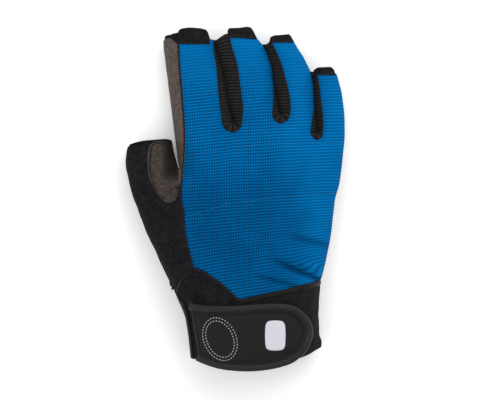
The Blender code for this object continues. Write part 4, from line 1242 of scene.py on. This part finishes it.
def add_details(suede_cloth, tape_cloth, dark_tape):
    blue = thread("blue_thread", rgb(0.003, 0.17, 0.42))
    brown = thread("brown_thread", rgb(0.034, 0.019, 0.013))
    black = thread("black_thread", rgb(0.006, 0.0055, 0.0055))
    grey = thread("pale_thread", rgb(0.46, 0.46, 0.48), 0.5)
    edging = thread("seam_edging", rgb(0.008, 0.0062, 0.0056), 0.85)
    rows = [((start_x, start_y), ((start_x + end_x) / 2, (start_y + end_y) / 2), (end_x - 0.8, end_y))
            for start_x, start_y, end_x, end_y, _, _ in FOLDS[:6]]
    add_stitches("knuckle_stitches", rows, blue, 1.5, 2.0, 0.2, 0.02, 0.15)

    lines = [seam_line(BACK_LEFT_SEAM, 81.5, -36.5, EDGING_SHIFT)]
    for gap, tips in zip(FINGER_GAPS, ((79.5, 84.5), (52.0, 81.3), (45.0, 64.3))):
        lines += [gap_seam(gap, side, tip) for side, tip in zip((-1, 1), tips)]
    add_tubes("seam_edging", [bead_grid(line, 0.42, 0.38, -0.1) for line in lines], edging)
    add_stitches("seam_stitches", lines, brown, 0.8, 1.9, 0.13, 0.25, 0.1)

    edge = seam_line(BACK_LOWER_EDGE, -21.5, 2.2, -1.1, True)
    foot = seam_line(BACK_LOWER_EDGE, 2.8, 45.0, -0.2, True)
    lower = seam_line(BACK_LOWER_EDGE, 2.8, 44.6, -CUFF_BINDING_WIDTH + 0.5, True)
    add_tubes("gusset_hem", [bead_grid(edge, 0.85, 0.4, 0.0)], suede_cloth)
    add_stitches("wrist_stitches", [edge + (0.3, 0.45), foot, lower], brown, 1.1, 2.0, 0.18, 0.1,
                 0.15)

    add_tubes("patch_groove", [bead_grid(PATCH_GROOVE, 0.34, 0.3, 0.3)], black)
    add_stitches("patch_stitches", [PATCH_GROOVE], brown, 1.2, 2.1, 0.16, 0.5, 0.12)
    rim = seam_line(THUMB_TOP, -55.8, -34.0, -0.5, True)
    add_tubes("thumb_hem", [bead_grid(rim, 0.5, 0.5, 0.2)], suede_cloth)

    tabs = [np.array(lower)[-3:] + (0.0, 0.5) for lower, _ in TABS.values()]
    add_stitches("tab_stitches", tabs, brown, 1.1, 1.7, 0.17, TAB_LIFT, 0.12)

    inner = strap_line(STRAP_BINDING_WIDTH + 1.3)[6:-6:3]
    add_stitches("strap_stitches", [inner], black, 1.5, 2.1, 0.2, STRAP_TOP - 0.15, 0.15)
    # A black bead inside the binding is painted shade in the groove where the binding meets the strap.
    groove = strap_line(STRAP_BINDING_WIDTH + 0.15)[5:-5:2]
    add_tubes("strap_groove_shade", [bead_grid(groove, 0.35, 0.3, STRAP_TOP - 0.1)], black)
    rings = [ring_point(np.linspace(0.0, 2 * math.pi, 41), axes) for axes in (RING_OUTER, RING_INNER)]
    add_stitches("ring_stitches", rings, grey, 1.12, 1.62, 0.24, STRAP_TOP + 0.2, 0.15,
                 closed=True)

    line = seam_line(PIPING_LINE, -84.0, -54.0)
    add_tubes("side_bead", [bead_grid(line, 1.05, 1.1, 0.6, 14)], tape_cloth,
              ("side_piping",))
    add_tubes("gusset_piping", [bead_grid(GUSSET_PIPING, 0.7, 0.45, 0.15)], dark_tape)
    inside = np.array(GUSSET_PIPING) + (1.5, 0.3)
    add_stitches("gusset_stitches", [inside], black, 1.2, 2.0, 0.18, 0.05, 0.15)


# Stage

def add_stage():
    mesh = bpy.data.meshes.new("floor")
    half = 1.5
    mesh.from_pydata([(-half, -half, 0), (half, -half, 0), (half, half, 0), (-half, half, 0)], [],
                     [(0, 1, 2, 3)])
    graph = Graph("floor", 0.9)
    speckle = graph.noise(graph.place(), 0.02)
    graph.finish(graph.mix(speckle, rgb(0.94, 0.94, 0.94), rgb(0.96, 0.96, 0.96)))
    graph.shader.inputs["Emission Color"].default_value = rgb(1.0, 1.0, 1.0)
    graph.shader.inputs["Emission Strength"].default_value = 0.16
    mesh.materials.append(graph.material)
    floor = bpy.data.objects.new("floor", mesh)
    floor.location.z = -0.0002
    bpy.context.scene.collection.objects.link(floor)

    world = bpy.data.worlds.new("soft_room")
    world.use_nodes = True
    background = world.node_tree.nodes["Background"].inputs
    background["Color"].default_value = rgb(1.0, 1.0, 1.0)
    background["Strength"].default_value = 0.82
    bpy.context.scene.world = world
    for name, place, size, power in (
        ("key", (0.32, 0.52, 0.65), 1.0, 4.6),
        ("fill", (-0.6, -0.2, 0.8), 1.0, 2.0),
    ):
        light = bpy.data.lights.new(name, "AREA")
        light.energy = power
        light.size = size
        lamp = bpy.data.objects.new(name, light)
        lamp.location = place
        away_x, away_y, height = place
        lamp.rotation_euler = (math.atan2(math.hypot(away_x, away_y), height), 0,
                               math.atan2(-away_x, away_y) + math.pi)
        bpy.context.scene.collection.objects.link(lamp)

    camera = bpy.data.objects.new("camera", bpy.data.cameras.new("camera"))
    camera.data.lens = 424.5
    camera.data.sensor_width = 36.0
    camera.data.clip_end = 10.0
    camera.location = (0.00254, -0.00053, 3.015)
    bpy.context.scene.collection.objects.link(camera)
    bpy.context.scene.camera = camera
    bpy.context.scene.view_settings.view_transform = "Standard"


def main():
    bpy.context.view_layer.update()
    palm_leather, black_suede, ribbed, loops = leather(), suede(), rib_knit(), loop_cloth()
    smooth_tape = tape("binding_tape", rgb(0.004, 0.0038, 0.0038), rgb(0.012, 0.0112, 0.0112))
    dark_tape = tape("dark_tape", rgb(0.002, 0.0018, 0.0018), rgb(0.006, 0.0054, 0.0054), 0.12)
    add_back()
    add_palm(palm_leather)
    for name, (gap, left_tip, right_tip, rim) in FOURCHETTES.items():
        add_fourchette(name, gap, left_tip, right_tip, rim, ribbed)
    add_side(palm_leather)
    add_thumb(black_suede)
    add_gusset(black_suede)
    add_cuff(loops)
    add_cuff_binding(dark_tape)
    for finger in FINGERS:
        add_tab(finger, black_suede)
    add_strap(coated())
    add_strap_binding(smooth_tape)
    add_badge(printed_label())
    add_details(black_suede, smooth_tape, dark_tape)
    add_stage()


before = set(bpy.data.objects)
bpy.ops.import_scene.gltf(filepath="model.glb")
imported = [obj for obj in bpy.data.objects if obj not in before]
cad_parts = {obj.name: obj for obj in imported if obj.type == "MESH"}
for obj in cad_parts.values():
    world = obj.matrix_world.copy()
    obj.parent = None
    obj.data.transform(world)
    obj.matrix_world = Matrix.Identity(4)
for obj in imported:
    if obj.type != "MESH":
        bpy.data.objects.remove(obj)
main()
